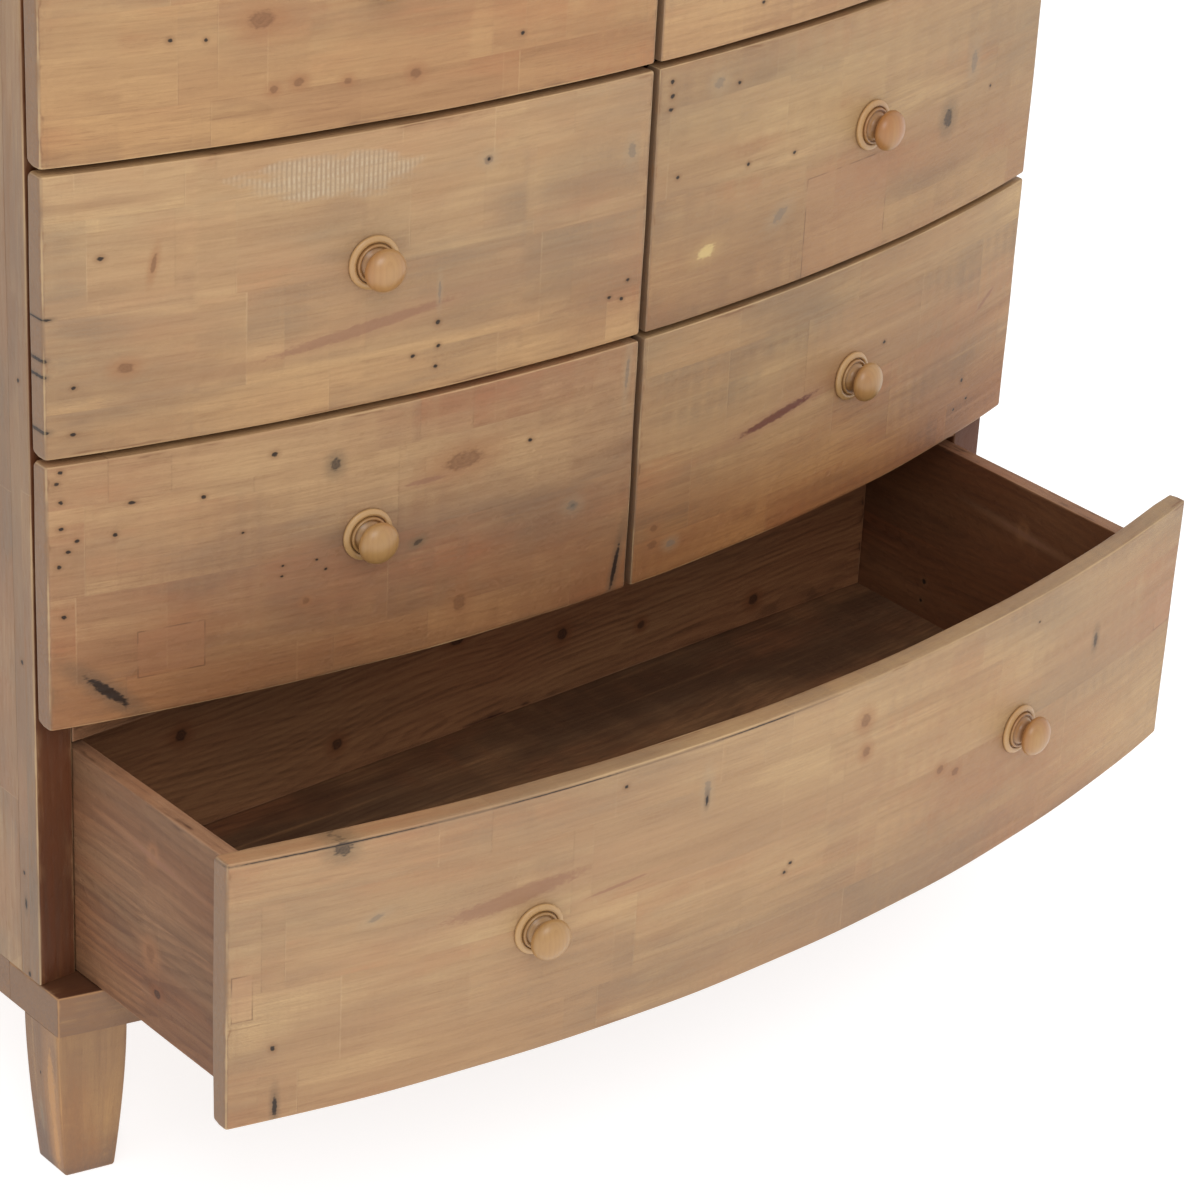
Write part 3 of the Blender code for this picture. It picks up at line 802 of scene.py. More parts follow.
# %% Marks on the fronts
FRONT_MARKS = {
    "bottom": [
        ("blue", -436, 112, 15, 13), ("bruise", -408, 44, 14, 5, 20), ("gouge", -487, -106, 4, 20),
        ("gouge", -440, 115.8, 170, 1.4), ("gouge", -250, 115.6, 120, 1.0),
        ("gouge", -60, 115.8, 90, 1.2), ("nail", -489, -52, 4, 5), ("nail", -192, 101),
        ("bruise", -111, 73, 7, 22), ("gouge", -111, 64, 3, 9), ("knot", 60, 81, 12, 13),
        ("knot", 64, 50, 9, 10), ("resin", -195, 12, 60, 3, 5), ("nail", -15, -27), ("nail", -21, -34),
        ("blue", 382, 38, 6, 14), ("nail", 285, 93, 3, 2), ("knot", 162, -3, 9, 8),
        ("knot", 183, -13, 9, 8), ("resin", -290, 30, 130, 16, 6),
    ],
    "lower_left": [
        ("nail", -250, 107), ("nail", -253, 98), ("nail", -250, 82), ("nail", -250, 60),
        ("nail", -238, 48), ("nail", -245, 40), ("nail", -252, 28), ("nail", -249, -15),
        ("nail", -196, 73, 6, 3), ("nail", -139, 67), ("nail", -209, 48), ("nail", -81, 92, 5, 4),
        ("nail", -107, 30, 3, 2), ("nail", -73, -6, 3, 2), ("nail", -74, -15, 3, 2),
        ("nail", -44, -7, 3, 2), ("nail", -36, -17, 3, 2), ("knot", -53, -41, 6, 6),
        ("nail", 199, -19, 5, 4), ("bruise", 199, -19, 12, 9), ("nail", 152, 52),
        ("blue", 47, -13, 9, 5, 20), ("blue", -29, 72, 9, 12), ("gouge", -216, -86, 46, 9, -42),
        ("knot", 88, -78, 13, 16), ("knot", 88, 50, 38, 16, 4), ("resin", 52, 40, 36, 5),
        ("bruise", 250, 87, 4, 32, -3), ("gouge", 248, -88, 5, 42, -10),
    ],
    "lower_right": [
        ("pitch", -94, -2, 100, 8, 8), ("nail", 47, 23), ("nail", 182, -59, 4, 4),
        ("nail", 193, -81, 4, 3), ("nail", 172, -85, 3, 3), ("knot", -238, -66, 9, 6),
        ("knot", -239, -81, 11, 8), ("bruise", -218, -86, 10, 7), ("resin", 211, 12, 34, 5, 28),
    ],
    "middle_left": [
        ("resin", -8, -48, 165, 10, 7), ("nail", 59, -56, 4, 4), ("nail", 60, -76), ("nail", 37, -80),
        ("nail", 58, -93), ("nail", 245, -61), ("nail", 226, -72), ("nail", 239, -76),
        ("nail", -218, 44, 5, 4), ("bruise", 101, 71, 9, 8), ("nail", 101, 71, 3, 3), ("nail", -239, -56),
        ("nail", -240, -94, 5, 3), ("gouge", -259, 1, 8, 2), ("gouge", -261, -32, 5, 3),
        ("gouge", -261, -45, 5, 3), ("gouge", -261, -90, 7, 3), ("knot", -178, 34, 4, 16, -12),
        ("knot", -200, -46, 13, 9), ("bruise", 242, 50, 8, 14), ("bruise", 60, -30, 3, 18),
    ],
    "middle_right": [
        ("nail", -247, 99, 4, 4), ("nail", -246, 87, 5, 4), ("nail", -247, 76, 5, 3), ("nail", -235, 16),
        ("nail", -172, 83), ("bruise", -195, 88, 12, 10), ("blue", 115, -19, 13, 17),
        ("bruise", 150, 24, 10, 20), ("nail", 181, -7, 3, 3), ("filler", -198, -57, 20, 11, 15),
        ("nail", -155, 9), ("nail", -99, 6, 4, 3), ("bruise", -112, -46, 18, 10, 30),
    ],
    "top_left": [
        ("knot", -95, -19, 22, 14), ("nail", -165, -26, 4, 3), ("nail", -138, -29, 3, 3),
        ("knot", -85, -74, 7, 6), ("knot", -65, -71, 9, 7), ("knot", -25, -76, 7, 6),
        ("knot", 33, -79, 10, 9), ("nail", 128, -63),
    ],
    "top_right": [
        ("nail", -150, -85), ("knot", 60, 20, 12, 10), ("nail", 120, 60),
    ],
}
print({name: len(marks) for name, marks in FRONT_MARKS.items()})

# %% Fronts of the drawers
FRONT_EDGE = (1.2 * MM, 2.6 * MM)
BACK_EDGE = 7 * MM
CORNER_REACH = 30 * MM


def front_radius(points, size):
    """One to three millimetres on the face, more at the back, low down and at the upper corners."""
    behind = np.clip(points[:, 1] / size[1] * 2 - 1, 0, 1)
    low_down = np.clip(1 - points[:, 2] / size[2], 0, 1)
    beside = np.clip(1 - np.minimum(points[:, 0], size[0] - points[:, 0]) / CORNER_REACH, 0, 1)
    extra = behind * np.maximum(low_down**2, 0.8 * beside * (1 - low_down) ** 2)
    return rubbed(points, str(size[0]), *FRONT_EDGE) + (BACK_EDGE - FRONT_EDGE[1]) * extra


def curved_front(name, node, body, material):
    """A board as thick as the front, as wide as its node, moved forward by the bow at each x."""
    low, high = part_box(node)
    ends = np.abs([low[0], high[0]])
    rear = high[1] + bow(ends.max())

    def bent(points):
        return points - np.outer(bow(points[:, 0]), (0, 1, 0))

    straight_low = (low[0], rear - FRONT_THICKNESS, low[2])
    straight_high = (high[0], rear, high[2])
    edge = (FRONT_EDGE[0], BACK_EDGE)
    piece = board(name, straight_low, straight_high, "x", edge, bend=bent, radius_of=front_radius)
    return finish_piece(piece, material, body, "pine_front", node)


print("a front's face is rounded by", [edge / MM for edge in FRONT_EDGE], "mm")


# %% Front boards
FRONT_PATCHES = {
    "bottom": [(-513, -2, 16, 40), (507, 22, 30, 42)],
    "lower_left": [(-165, -59, 54, 40)],
    "middle_right": [(-25, -70, 108, 94)],
}
SAW_MARKS = {"middle_left": [(-31, 82, 146, 36)]}
# How strong the painted shade low on each front is. It is strongest on the fronts just above the open drawer.
LOW_PAINTED_SHADE = {"lower_left": 0.65, "lower_right": 0.8, "bottom": 0.15}
SHADES = {
    "top_left": tone(246, 242, 236),
    "lower_left": tone(233, 226, 227),
    "middle_right": tone(238, 238, 237),
    "lower_right": tone(246, 243, 238),
    "bottom": tone(242, 242, 244),
}
PLAIN_SHADE = tone(252, 252, 252)
for name, marks in FRONT_MARKS.items():
    wood = pine(
        f"pine_front_{name}",
        marks,
        patches=FRONT_PATCHES.get(name, ()),
        saw_marks=SAW_MARKS.get(name, ()),
        low_painted_shade=LOW_PAINTED_SHADE.get(name, 0.3),
        shade=SHADES.get(name, PLAIN_SHADE),
        knot_share=0.0,
    )
    piece = curved_front(f"front_{name}", f"drawer_{name}_front", f"drawer_{name}", wood)
    print(piece.name, len(piece.data.polygons), "quads")

# %% [markdown]
# ## Turned knobs
#
# Each knob is one piece of pine off the lathe: a rosette with a rolled rim, a groove, a bead and a cove, then
# a slim neck and a flattened ball. A Screw or Spin would do it. Here the profile is a chain of arcs, and the
# surface is the profile's radius times the cosine and sine of the turn, so it closes on itself exactly. The
# axis leans with the front, square to the arc where the knob stands.

# %% Knob profile
def arc(radius_at, height_at, wide, tall, start, end, count):
    """Points of an ellipse's arc as (radius, height): its centre plus cosine and sine of the angle."""
    angles = np.radians(np.linspace(start, end, count))
    return np.stack([radius_at + wide * np.cos(angles), height_at + tall * np.sin(angles)], axis=1)


KNOB_PROFILE = MM * np.concatenate(
    [
        [[0.0, 0.0], [12.0, 0.0]],
        arc(20.2, 1.8, 1.8, 1.8, -90, 80, 10),
        arc(18.6, 3.4, 1.9, 1.2, 75, 165, 8),
        arc(16.3, 3.3, 0.35, 0.5, -30, -150, 4),
        arc(14.6, 4.2, 1.35, 1.9, 0, 160, 10),
        arc(12.9, 5.0, 0.35, 0.4, -30, -140, 3),
        arc(12.4, 11.0, 3.1, 4.6, 255, 180, 8),
        arc(0.0, 18.9, 17.5, 6.9, -57, 0, 12),
        arc(0.0, 18.9, 17.5, 10.6, 5, 88, 16),
        [[0.0, 29.5]],
    ]
)
KNOB_SEGMENTS = 72
print(len(KNOB_PROFILE), "points on the profile of a knob")


# %% Grooves of a knob
def groove_depth(radius, height):
    """1 in the grooves and in the cove under the ball, and 0 elsewhere: the grooves are painted darker, the
    cove takes painted shade.
    """
    near_groove = np.exp(-(((radius - 16.3 * MM) / (0.45 * MM)) ** 2)) * (height < 5 * MM)
    near_bead = 0.5 * np.exp(-(((radius - 12.7 * MM) / (0.6 * MM)) ** 2)) * (height < 8 * MM)
    under_ball = np.exp(-(((height - 10.6 * MM) / (2.2 * MM)) ** 2))
    return np.clip(near_groove + near_bead + under_ball, 0, 1)


# How much darker the groove of the rosette is painted.
print("dirt in the groove of the rosette:", round(float(groove_depth(16.3 * MM, 3 * MM)), 2))

# %% Turn a knob
RIM_FROM = 17 * MM
RIM_TOP = 6 * MM
# The knob's grain runs upright: its board's axes are the room's z, x and y.
UPRIGHT = [2, 0, 1]


def turned_knob(name, node, body, material):
    """The profile spun about the axis through the node, which leans with the bow."""
    low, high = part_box(node)
    x, z = (low[0] + high[0]) / 2, (low[2] + high[2]) / 2
    lean = np.arctan(-x / np.sqrt(BOW_RADIUS**2 - x**2))
    outward = np.array([-np.sin(lean), -np.cos(lean), 0.0])
    sideways = np.array([np.cos(lean), -np.sin(lean), 0.0])
    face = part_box("drawer_bottom_front")[0][1] + BOW_RISE - bow(x)
    if body != "drawer_bottom":
        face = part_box(f"{body}_front")[1][1] - FRONT_THICKNESS + bow(half_width) - bow(x)
    turn = np.linspace(0, 2 * np.pi, KNOB_SEGMENTS, endpoint=False)[None, :, None]
    radius, height = KNOB_PROFILE[1:-1].T
    around = np.cos(turn) * sideways + np.sin(turn) * (0, 0, 1)
    round_points = radius[:, None, None] * around + height[:, None, None] * outward
    ends = KNOB_PROFILE[[0, -1], 1:] * outward
    points = np.concatenate([round_points.reshape(-1, 3), ends])
    ring, spoke = np.meshgrid(np.arange(len(radius) - 1), np.arange(KNOB_SEGMENTS), indexing="ij")
    here, there = ring * KNOB_SEGMENTS + spoke, ring * KNOB_SEGMENTS + (spoke + 1) % KNOB_SEGMENTS
    quads = np.stack([here, here + KNOB_SEGMENTS, there + KNOB_SEGMENTS, there], axis=-1).reshape(-1, 4)
    step = np.arange(KNOB_SEGMENTS)
    following = (step + 1) % KNOB_SEGMENTS
    last = (len(radius) - 1) * KNOB_SEGMENTS
    back, tip = len(points) - 2, len(points) - 1
    caps = [(back, int(a), int(b)) for a, b in zip(step, following)]
    caps += [(tip, int(last + b), int(last + a)) for a, b in zip(step, following)]
    on_rim = (radius > RIM_FROM) & (height < RIM_TOP)
    places = {
        "board": points[:, UPRIGHT],
        "stock": points[:, UPRIGHT] + stock_place_of(name),
        "groove": np.append(np.repeat(groove_depth(radius, height), KNOB_SEGMENTS), [0.0, 0.0]),
        "rim": np.append(np.repeat(on_rim, KNOB_SEGMENTS), [0.0, 0.0]),
    }
    piece = solid(name, points + (x, face, z), [*quads.tolist(), *caps], places)
    return finish_piece(piece, material, body, "pine_knob", node)


print(KNOB_SEGMENTS, "segments round a knob")


# %% Knob wood
knob_wood, tree = new_material("turned_pine")
board_place, stock_place, grooves_and_cove_shade, on_rim = (stored(tree, s) for s in ("board", "stock", "groove", "rim"))
trunk = vectors(tree, "ADD", board_place, (0.0, 0.006, 0.03))
figure = use(tree, grain, Figure=stock_place, Stock=stock_place, Trunk=trunk, Ring=0.0042, Wander=0.012)
colour = mix(tree, figure["Warm"], tone(166, 126, 76), tone(162, 110, 62))
colour = lay(tree, colour, tone(176, 136, 88), figure["Pale"], 0.7)
colour = lay(tree, colour, tone(138, 94, 58), figure["Rings"], 0.16)
colour = lay(tree, colour, tone(190, 152, 102), on_rim, 0.6)
colour = lay(tree, colour, tone(142, 96, 62), fade(tree, figure["Fibre"], 0.5, 0.8), 0.3)
# The grooves painted darker, and painted shade in the cove under the ball.
colour = lay(tree, colour, tone(92, 54, 30), grooves_and_cove_shade, 0.65)
rough = maths(tree, "MULTIPLY_ADD", figure["Streak"], 0.2, 0.28)
shader = finish_wood(knob_wood, colour, rough, (0.12, 0.0004, figure["Fibre"]))
shader.inputs["Coat Weight"].default_value = 0.25
shader.inputs["Coat Roughness"].default_value = 0.3
print(knob_wood.name, len(tree.nodes), "nodes")

# %% Place the knobs
for drawer in FRONT_MARKS:
    body = f"drawer_{drawer}"
    for hand in ("_left", "_right") if drawer == "bottom" else ("",):
        knob = turned_knob(f"knob_{drawer}{hand}", f"{body}_knob{hand}", body, knob_wood)
print(knob.name, len(knob.data.polygons), "faces")

# %% [markdown]
# ## Drawer boxes
#
# Behind each front is a plain box: two sides, a back, and a bottom that sits in grooves. It is stained dark
# brown, and since nobody waxed it, the growth rings stand out in arches. The inner faces of the sides take a
# darker tint, which is stain together with painted shade inside the box, so the outside shows paler, and
# their tops get painted light. Their front ends are cut along the arc. A Boolean with the front could trim
# them, but bending the board's own net leaves clean ends.

# %% Boards whose front end follows the arc
def to_the_bow(low, high):
    """Each point keeps its share of the way from the back, which is straight, to the front, on the bow."""
    nearest = np.clip(0, low[0], high[0])

    def bent(points):
        front = low[1] + bow(nearest) - bow(points[:, 0])
        share = (high[1] - points[:, 1]) / (high[1] - low[1])
        return np.stack([points[:, 0], high[1] - share * (high[1] - front), points[:, 2]], axis=1)

    return bent


print(f"a drawer box 100 mm off the middle starts {(bow(0) - bow(0.1)) / MM:.1f} mm further back")


# %% Recipes for the boxes
BOX_PINE = recipe_of(
    base=(156, 108, 72),
    other=(142, 97, 66),
    warm=(160, 102, 66),
    cool=(130, 98, 70),
    pale=(176, 128, 86),
    ring=(70, 40, 26),
    knot=(48, 28, 20),
    bare=(170, 130, 98),
    end=(106, 78, 56),
    row=0.19,
    length=3.0,
    ring_width=0.0072,
    wander=0.075,
    ring_share=0.8,
    fibre_share=0.5,
    patch_share=0.6,
    bare_width=0.0035,
    bare_share=0.5,
    knot_share=0.12,
    roughness=0.62,
)
SIDE_PALE = recipe_of(
    base=(134, 91, 59),
    other=(122, 83, 55),
    warm=(144, 90, 58),
    cool=(116, 90, 64),
    pale=(158, 118, 84),
    ring=(84, 54, 38),
    knot=(66, 42, 32),
    row=0.11,
    ring_share=0.55,
    streak_share=0.6,
    patch_share=0.8,
)
BACK_BOARD = recipe_of(base=(170, 118, 78), other=(158, 108, 73), knot_share=0.0, fleck_share=0.6)
BOTTOM_PINE = recipe_of(base=(98, 68, 46), other=(88, 61, 42), row=0.11, ring_share=0.35)
print("the boxes change", len(BOX_PINE), "entries of the recipe")

# %% Marks on the boxes
BACK_KNOTS = [
    ("pin knot", -323, 6, 12, 12), ("pin knot", -158, -58, 12, 12), ("pin knot", -27, 3, 16, 9),
    ("pin knot", 96, -29, 12, 13), ("pin knot", 192, -49, 9, 9), ("pin knot", 334, -66, 12, 12),
    ("knot", -250, 40, 26, 12), ("knot", 29, 29, 24, 12),
]
SIDE_MARKS = [
    ("knot", -40, 60, 7, 12, 10), ("knot", -36, -33, 12, 16), ("pin knot", -45, -66, 10, 8),
    ("nail", 76, -41, 5, 5), ("nail", 78, -62, 4, 4), ("resin", -42, 57, 70, 5, 4),
]
print(len(BACK_KNOTS), "knots on a box's back,", len(SIDE_MARKS), "marks on its sides")

# %% Woods of the boxes
# The tint on the inner faces of the drawer sides: the box stain, darkened further as painted shade inside the
# box.
BOX_STAIN_AND_SHADE = tone(226, 208, 196)
HALF_SIDE = 7.5 * MM
# A tint paler than white paper makes the faces that look up paler: painted light on the tops of the drawer
# sides.
LIT_TOP_TINT = (1.5, 1.6, 1.8, 1.0)
box_back_wood = pine("box_back_pine", BACK_KNOTS, **(BOX_PINE | BACK_BOARD))
bottom_wood = pine("box_bottom_pine", **(BOX_PINE | BOTTOM_PINE))
side_looks = BOX_PINE | SIDE_PALE
# Each drawer side: stain and painted shade on the inner faces, painted light on the faces that look up.
side_woods = {
    hand: pine(f"box_side_pine_{hand}", SIDE_MARKS, (BOX_STAIN_AND_SHADE, "Z", face), top_stain_and_light=LIT_TOP_TINT, **side_looks)
    for hand, face in (("left", -HALF_SIDE), ("right", HALF_SIDE))
}
print(box_back_wood.name, bottom_wood.name, *(wood.name for wood in side_woods.values()))

# %% Boxes of the seven drawers
SOFT_EDGE = (0.6 * MM, 1.6 * MM)
BOX_STEP = 12 * MM
for drawer in FRONT_MARKS:
    node = f"drawer_{drawer}"
    for part, grain_axis, wood in (
        ("side_left", "y", side_woods["left"]),
        ("side_right", "y", side_woods["right"]),
        ("back", "x", box_back_wood),
        ("bottom", "x", bottom_wood),
    ):
        low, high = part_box(f"{node}_{part}")
        bend = None if part == "back" else to_the_bow(low, high)
        piece = board(f"{part}_of_{drawer}_box", low, high, grain_axis, SOFT_EDGE, BOX_STEP, bend)
        finish_piece(piece, wood, node, "pine_box", f"{node}_{part}")

# %% [markdown]
# ## The carcass
#
# Each side is a wide panel with a strip glued on in front, which is the post that the fronts close against.
# The outside has the honey finish of the fronts, and all inner faces have the brown stain of the boxes. Two
# materials on one board would need its faces sorted, so one material stains by the side a face looks to.

# %% Recipes for the carcass
CASE_PINE = recipe_of(
    base=(140, 113, 88),
    other=(128, 104, 84),
    warm=(152, 108, 78),
    cool=(108, 96, 84),
    pale=(166, 137, 102),
    row=0.09,
    length=1.6,
    ring_share=0.4,
    patch_share=0.8,
    streak_share=0.75,
    fleck_share=0.6,
)
BASE_PINE = CASE_PINE | recipe_of(
    base=(134, 101, 74),
    other=(124, 94, 72),
    warm=(154, 102, 64),
    cool=(106, 88, 76),
    pale=(170, 132, 88),
    bare=(204, 152, 98),
    end=(106, 86, 72),
    row=0.3,
    length=3.0,
    bare_width=0.0028,
    patch_share=1.0,
    streak_share=0.8,
)
print("the base changes", len(BASE_PINE), "entries of the recipe")

# %% Marks on the carcass
CASE_MARKS = [
    ("nail", -465, 2, 5, 4), ("gouge", -400, 5, 9, 3), ("nail", -372, 7), ("nail", -180, 3),
    ("nail", 60, 0),
]
FOOT_MARKS = [
    ("smudge", -50, 16, 46, 24), ("smudge", 44, -20, 40, 18), ("smudge", -68, 0, 12, 70),
    ("honey", 12, -16, 84, 14), ("honey", -42, -18, 50, 12), ("nail", 22, 5, 4, 2),
    ("bruise", -22, 10, 16, 4),
]
print(len(CASE_MARKS), "marks on a side,", len(FOOT_MARKS), "on a foot")

# %% Carcass woods
CASE_STAIN = tone(180, 136, 110)
LEDGE_STAIN = tone(166, 140, 130)
half_side = (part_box("side_left")[1][0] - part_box("side_left")[0][0]) / 2
case_woods = {
    hand: pine(f"case_pine_{hand}", CASE_MARKS, (CASE_STAIN, "Z", face), **CASE_PINE)
    for hand, face in (("left", -half_side), ("right", half_side))
}
inner_wood = pine("inner_pine", **(BOX_PINE | {"row": 0.3}))
top_wood = pine("top_pine", row=0.11, length=0.8, bare_width=0.003, patch_share=0.8)
rail_wood = pine("base_rail_pine", top_stain_and_light=LEDGE_STAIN, **(BASE_PINE | {"patch_share": 0.4}))
foot_wood = pine("foot_pine", FOOT_MARKS, **BASE_PINE)
print(sum(m.name.endswith(("_pine", "pine_left", "pine_right")) for m in bpy.data.materials), "pine finishes")

# %% Sides
STRIP_DEPTH = 26 * MM
HALF_SEAM = 0.15 * MM
STRIP_EDGE, PANEL_EDGE = (1 * MM, 1.8 * MM), (1 * MM, 1.5 * MM)
CASE_STEP = 16 * MM
for hand in ("left", "right"):
    low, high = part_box(f"side_{hand}")
    joint = low[1] + STRIP_DEPTH
    strip_high = (high[0], joint - HALF_SEAM, high[2])
    panel_low = (low[0], joint + HALF_SEAM, low[2])
    strip_joints, panel_joints = ("+y", "-z", "+z"), ("-y", "-z", "+z")
    strip = board(f"post_strip_{hand}", low, strip_high, "z", STRIP_EDGE, BOX_STEP, joined=strip_joints)
    panel = board(f"side_panel_{hand}", panel_low, high, "z", PANEL_EDGE, CASE_STEP, joined=panel_joints)
    for piece in (strip, panel):
        finish_piece(piece, case_woods[hand], "carcass", "pine_case", f"side_{hand}")
    print(strip.name, panel.name)

# %% Top board
TOP_EDGE = (2 * MM, 4.5 * MM)
low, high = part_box("top_board")
piece = board("top", low, high, "x", TOP_EDGE, BOX_STEP, to_the_bow(low, high))
finish_piece(piece, top_wood, "carcass", "pine_case", "top_board")
print(piece.name, len(piece.data.polygons), "quads")

# %% Base
RAIL_EDGE = (1.2 * MM, 2.4 * MM)
low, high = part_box("base_front_rail")
piece = board("base_rail", low, high, "x", RAIL_EDGE, bend=to_the_bow(low, high), joined=("+y", "-z"))
finish_piece(piece, rail_wood, "carcass", "pine_base_rail", "base_front_rail")
low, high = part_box("base_board")
piece = board("base_deck", low, high, "x", SOFT_EDGE, CASE_STEP, joined=("-y", "+z", "-z"))
finish_piece(piece, rail_wood, "carcass", "pine_base_rail", "base_board")
print(piece.name, len(piece.data.polygons), "quads")

# %% Partition, rails and dust boards
RAIL_DEPTH = 55 * MM
DUST_BOARD = 12 * MM
HIDDEN_STEP = 24 * MM
BETWEEN_ROWS = [f"rail_{row_name}_{hand}" for row_name in ("lower", "middle") for hand in ("left", "right")]
low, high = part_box("centre_partition")
piece = board("partition", low, high, "z", SOFT_EDGE, CASE_STEP)
finish_piece(piece, inner_wood, "carcass", "pine_case", "centre_partition")
for node in ("rail_above_bottom", *BETWEEN_ROWS, "rail_top"):
    low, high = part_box(node)
    joint = low[1] + RAIL_DEPTH
    dust_low = (low[0], joint, high[2] - DUST_BOARD)
    rail = board(f"{node}_front", low, (high[0], joint, high[2]), "x", SOFT_EDGE, CASE_STEP)
    dust = board(f"{node}_dust_board", dust_low, high, "x", SOFT_EDGE, HIDDEN_STEP)
    for piece in (rail, dust):
        finish_piece(piece, inner_wood, "carcass", "pine_case", node)
print(2 + len(BETWEEN_ROWS), "rails with dust boards")

# %% [markdown]
# ## Back
#
# The back is a row of upright planks. A groove cut in one panel would do, but here each plank is a board of
# its own, and their rounded edges make the V-shaped lines between them.

# %% Back planks
PLANKS = 9
PLANK_EDGE = (1 * MM, 2.4 * MM)
BACK_PINE = recipe_of(base=(166, 132, 96), row=0.4, length=9.0, ring_share=0.5, seam_share=0.0)
back_wood = pine("back_pine", **(CASE_PINE | BACK_PINE))
low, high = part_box("back_panel")
plank_edges = np.linspace(low[0], high[0], PLANKS + 1)
for number, (left, right) in enumerate(zip(plank_edges, plank_edges[1:]), start=1):
    plank_low, plank_high = (left, low[1], low[2]), (right, high[1], high[2])
    plank = board(f"back_plank_{number}", plank_low, plank_high, "z", PLANK_EDGE, HIDDEN_STEP)
    finish_piece(plank, back_wood, "carcass", "pine_case", "back_panel")
print(PLANKS, "planks", round((plank_edges[1] - plank_edges[0]) / MM), "mm wide")

# %% [markdown]
# ## Feet
#
# Each foot is a short post sawn to a taper and rasped softly round. It is a board like the others whose
# points are then drawn in towards its middle line, more and more towards the floor.

# %% Tapered feet
FOOT_TAPER = 8 * MM
TAPER_POWER = 1.6
FOOT_EDGE = (2 * MM, 3.6 * MM)


def tapered(low, high, front_on_bow):
    """Draws each point in by taper * (share of the way down) ** power, in proportion to its offset."""
    middle = (np.array(low) + high) / 2
    half = (np.array(high) - low) / 2
    shape_front = to_the_bow(low, high) if front_on_bow else (lambda points: points)

    def bent(points):
        down = np.clip((high[2] - points[:, 2]) / (high[2] - low[2]), 0, 1)[:, None]
        shrink = 1 - FOOT_TAPER * down**TAPER_POWER / half[:2]
        drawn = middle[:2] + (points[:, :2] - middle[:2]) * shrink
        return shape_front(np.concatenate([drawn, points[:, 2:]], axis=1))

    return bent


for node in ("foot_front_left", "foot_front_right", "foot_rear_left", "foot_rear_right"):
    low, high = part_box(node)
    shape = tapered(low, high, "front" in node)
    foot = board(f"tapered_{node}", low, high, "z", FOOT_EDGE, 5 * MM, shape, joined=("+z",))
    finish_piece(foot, foot_wood, "carcass", "pine_case", node)
print("feet drawn in by", FOOT_TAPER / MM, "mm")

# %% [markdown]
# ## The floor of the studio
#
# The chest stands on white paper that runs up to a white wall without an edge. A curved sweep could be
# modelled, but a very wide sheet that glows a little under a white sky looks the same, and still takes the
# soft shadow that shows where the feet stand.

# %% Floor
FLOOR_REACH = 40.0
FLOOR_GLOW = 0.77
floor_mesh = bpy.data.meshes.new("studio_floor")
corners = [(x * FLOOR_REACH, y * FLOOR_REACH, 0) for x, y in ((-1, -1), (1, -1), (1, 1), (-1, 1))]
floor_mesh.from_pydata(corners, [], [(0, 1, 2, 3)])
floor = bpy.data.objects.new("studio_floor", floor_mesh)
bpy.context.scene.collection.objects.link(floor)
paper, tree = new_material("white_paper")
paper_looks = {
    "Base Color": (0.5, 0.5, 0.5, 1.0),
    "Emission Color": (1.0, 1.0, 1.0, 1.0),
    "Emission Strength": FLOOR_GLOW,
    "Roughness": 0.9,
    "Specular IOR Level": 0.1,
}
for label, value in paper_looks.items():
    tree.nodes["Principled BSDF"].inputs[label].default_value = value
floor_mesh.materials.append(paper)
print(floor.name, 2 * FLOOR_REACH, "m wide")

# %% [markdown]
# ## Light
#
# Pale wood on white paper is lit from everywhere, so most of the light is the sky itself. It is a little
# brighter to the camera than to the wood, which keeps the wall white and the wood from washing out. A large
# soft box above and in front models the bow, and a weak one opens the shadows from the right.

# %% Sky
SKY_ON_WOOD = 0.85
world = bpy.data.worlds.new("white_studio")
world.use_nodes = True
sky = world.node_tree.nodes["Background"].inputs
sky["Color"].default_value = (1.0, 1.0, 1.0, 1.0)
seen = put(world.node_tree, "LightPath").outputs["Is Camera Ray"]
strength = maths(world.node_tree, "MULTIPLY_ADD", seen, 0.15, SKY_ON_WOOD)
world.node_tree.links.new(strength, sky["Strength"])
bpy.context.scene.world = world
bpy.context.scene.view_settings.view_transform = "Standard"
print("sky", SKY_ON_WOOD, "on the wood")

# %% Soft boxes
AIM = (0, 0, 0.4)


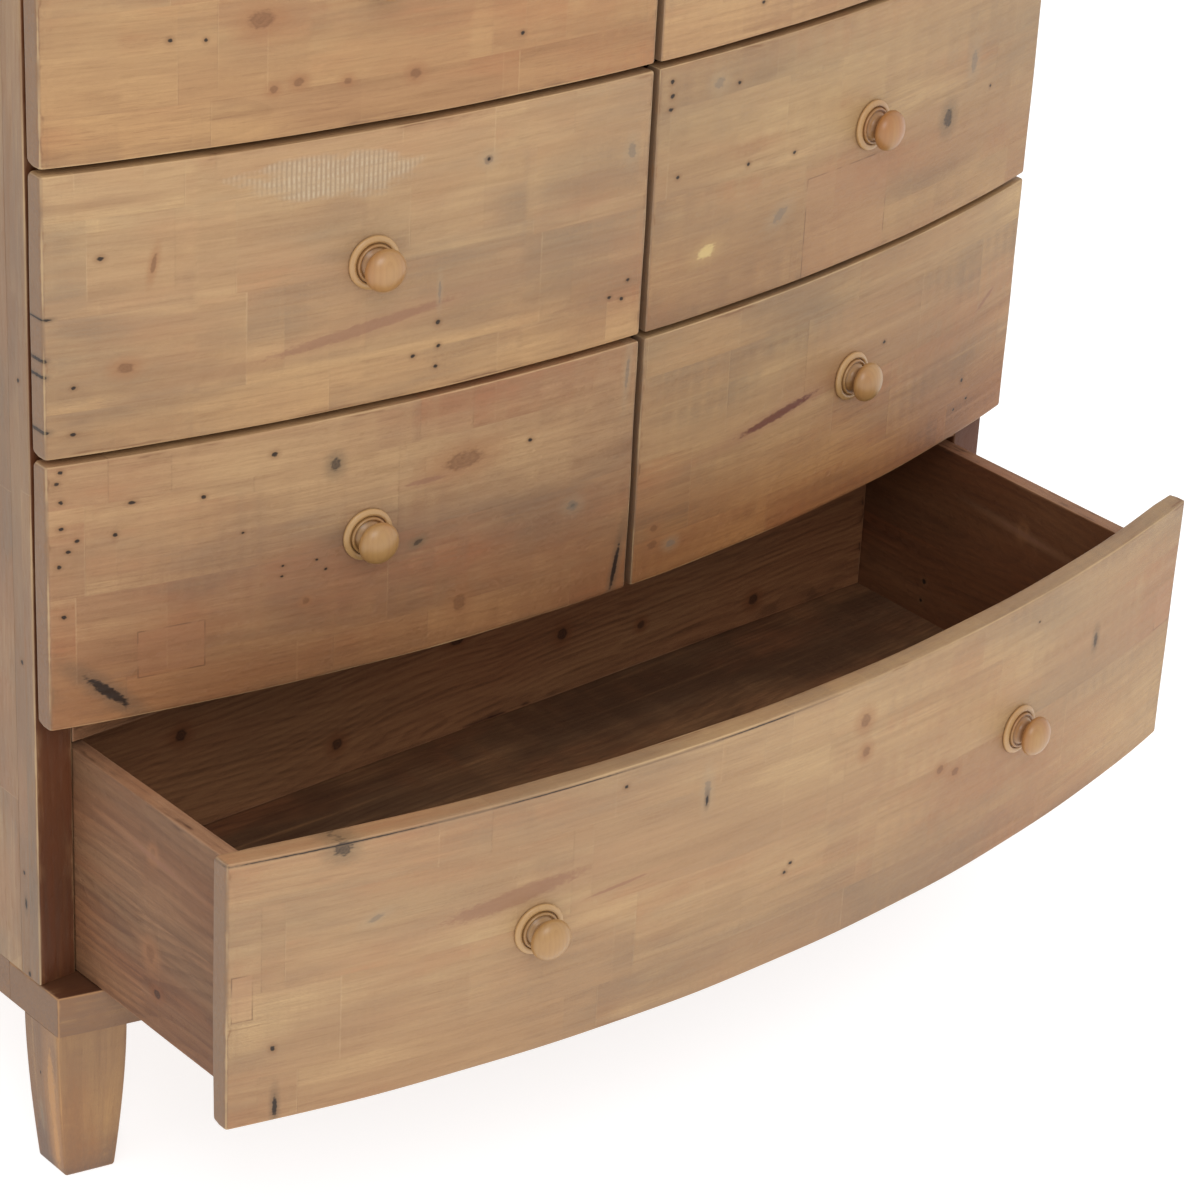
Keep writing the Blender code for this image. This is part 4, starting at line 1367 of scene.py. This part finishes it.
def soft_box(name, place, size, watts):
    """A square area light of the given side, turned from its place towards the drawers."""
    light = bpy.data.lights.new(name, "AREA")
    light.size = size
    light.energy = watts
    lamp = bpy.data.objects.new(name, light)
    lamp.location = place
    lamp.rotation_euler = (Vector(AIM) - Vector(place)).to_track_quat("-Z", "Y").to_euler()
    bpy.context.scene.collection.objects.link(lamp)
    return lamp


key = soft_box("key", (-1.6, -2.6, 3.0), 1.8, 38)
fill = soft_box("fill", (2.6, -2.4, 1.8), 2.4, 4)
print(key.name, key.data.energy, "W,", fill.name, fill.data.energy, "W")

# %% [markdown]
# ## Camera
#
# The camera stands to the left, above the top, and looks down to the open drawer. Its place is kept from the
# left post, which all other sizes start from. Turning it with Euler angles is easy to get wrong, so its three
# axes are worked out instead: forward from the azimuth and the angle down, then right and up by the roll.

# %% Camera
CAMERA_FROM_POST = (-1.971, -2.241, 1.930)
VIEW_AZIMUTH = 42.148
VIEW_DOWN = 27.556
VIEW_ROLL = 3.122
LENS_PER_WIDTH = 3.2619
SENSOR = 36.0
azimuth, down, roll = np.radians([VIEW_AZIMUTH, VIEW_DOWN, VIEW_ROLL])
ahead = math.cos(down)
forward = np.array([math.sin(azimuth) * ahead, math.cos(azimuth) * ahead, -math.sin(down)])
level = np.array([math.cos(azimuth), -math.sin(azimuth), 0.0])
upward = np.cross(level, forward)
right = math.cos(roll) * level + math.sin(roll) * upward
top = math.cos(roll) * upward - math.sin(roll) * level
camera_data = bpy.data.cameras.new("camera")
camera_data.sensor_width = SENSOR
camera_data.lens = SENSOR * LENS_PER_WIDTH
camera = bpy.data.objects.new("camera", camera_data)
bpy.context.scene.collection.objects.link(camera)
matrix = np.eye(4)
matrix[:3, :3] = np.stack([right, top, -forward], axis=1)
matrix[:3, 3] = np.array(CAMERA_FROM_POST) + (0, post_front, 0)
camera.matrix_world = Matrix(matrix.tolist())
bpy.context.scene.camera = camera
print("lens", round(camera_data.lens, 1), "mm")

# %% [markdown]
# ## Sizes
#
# The rounded boards must stay in the box of the imported model.

# %% Sizes
print("the chest is built")
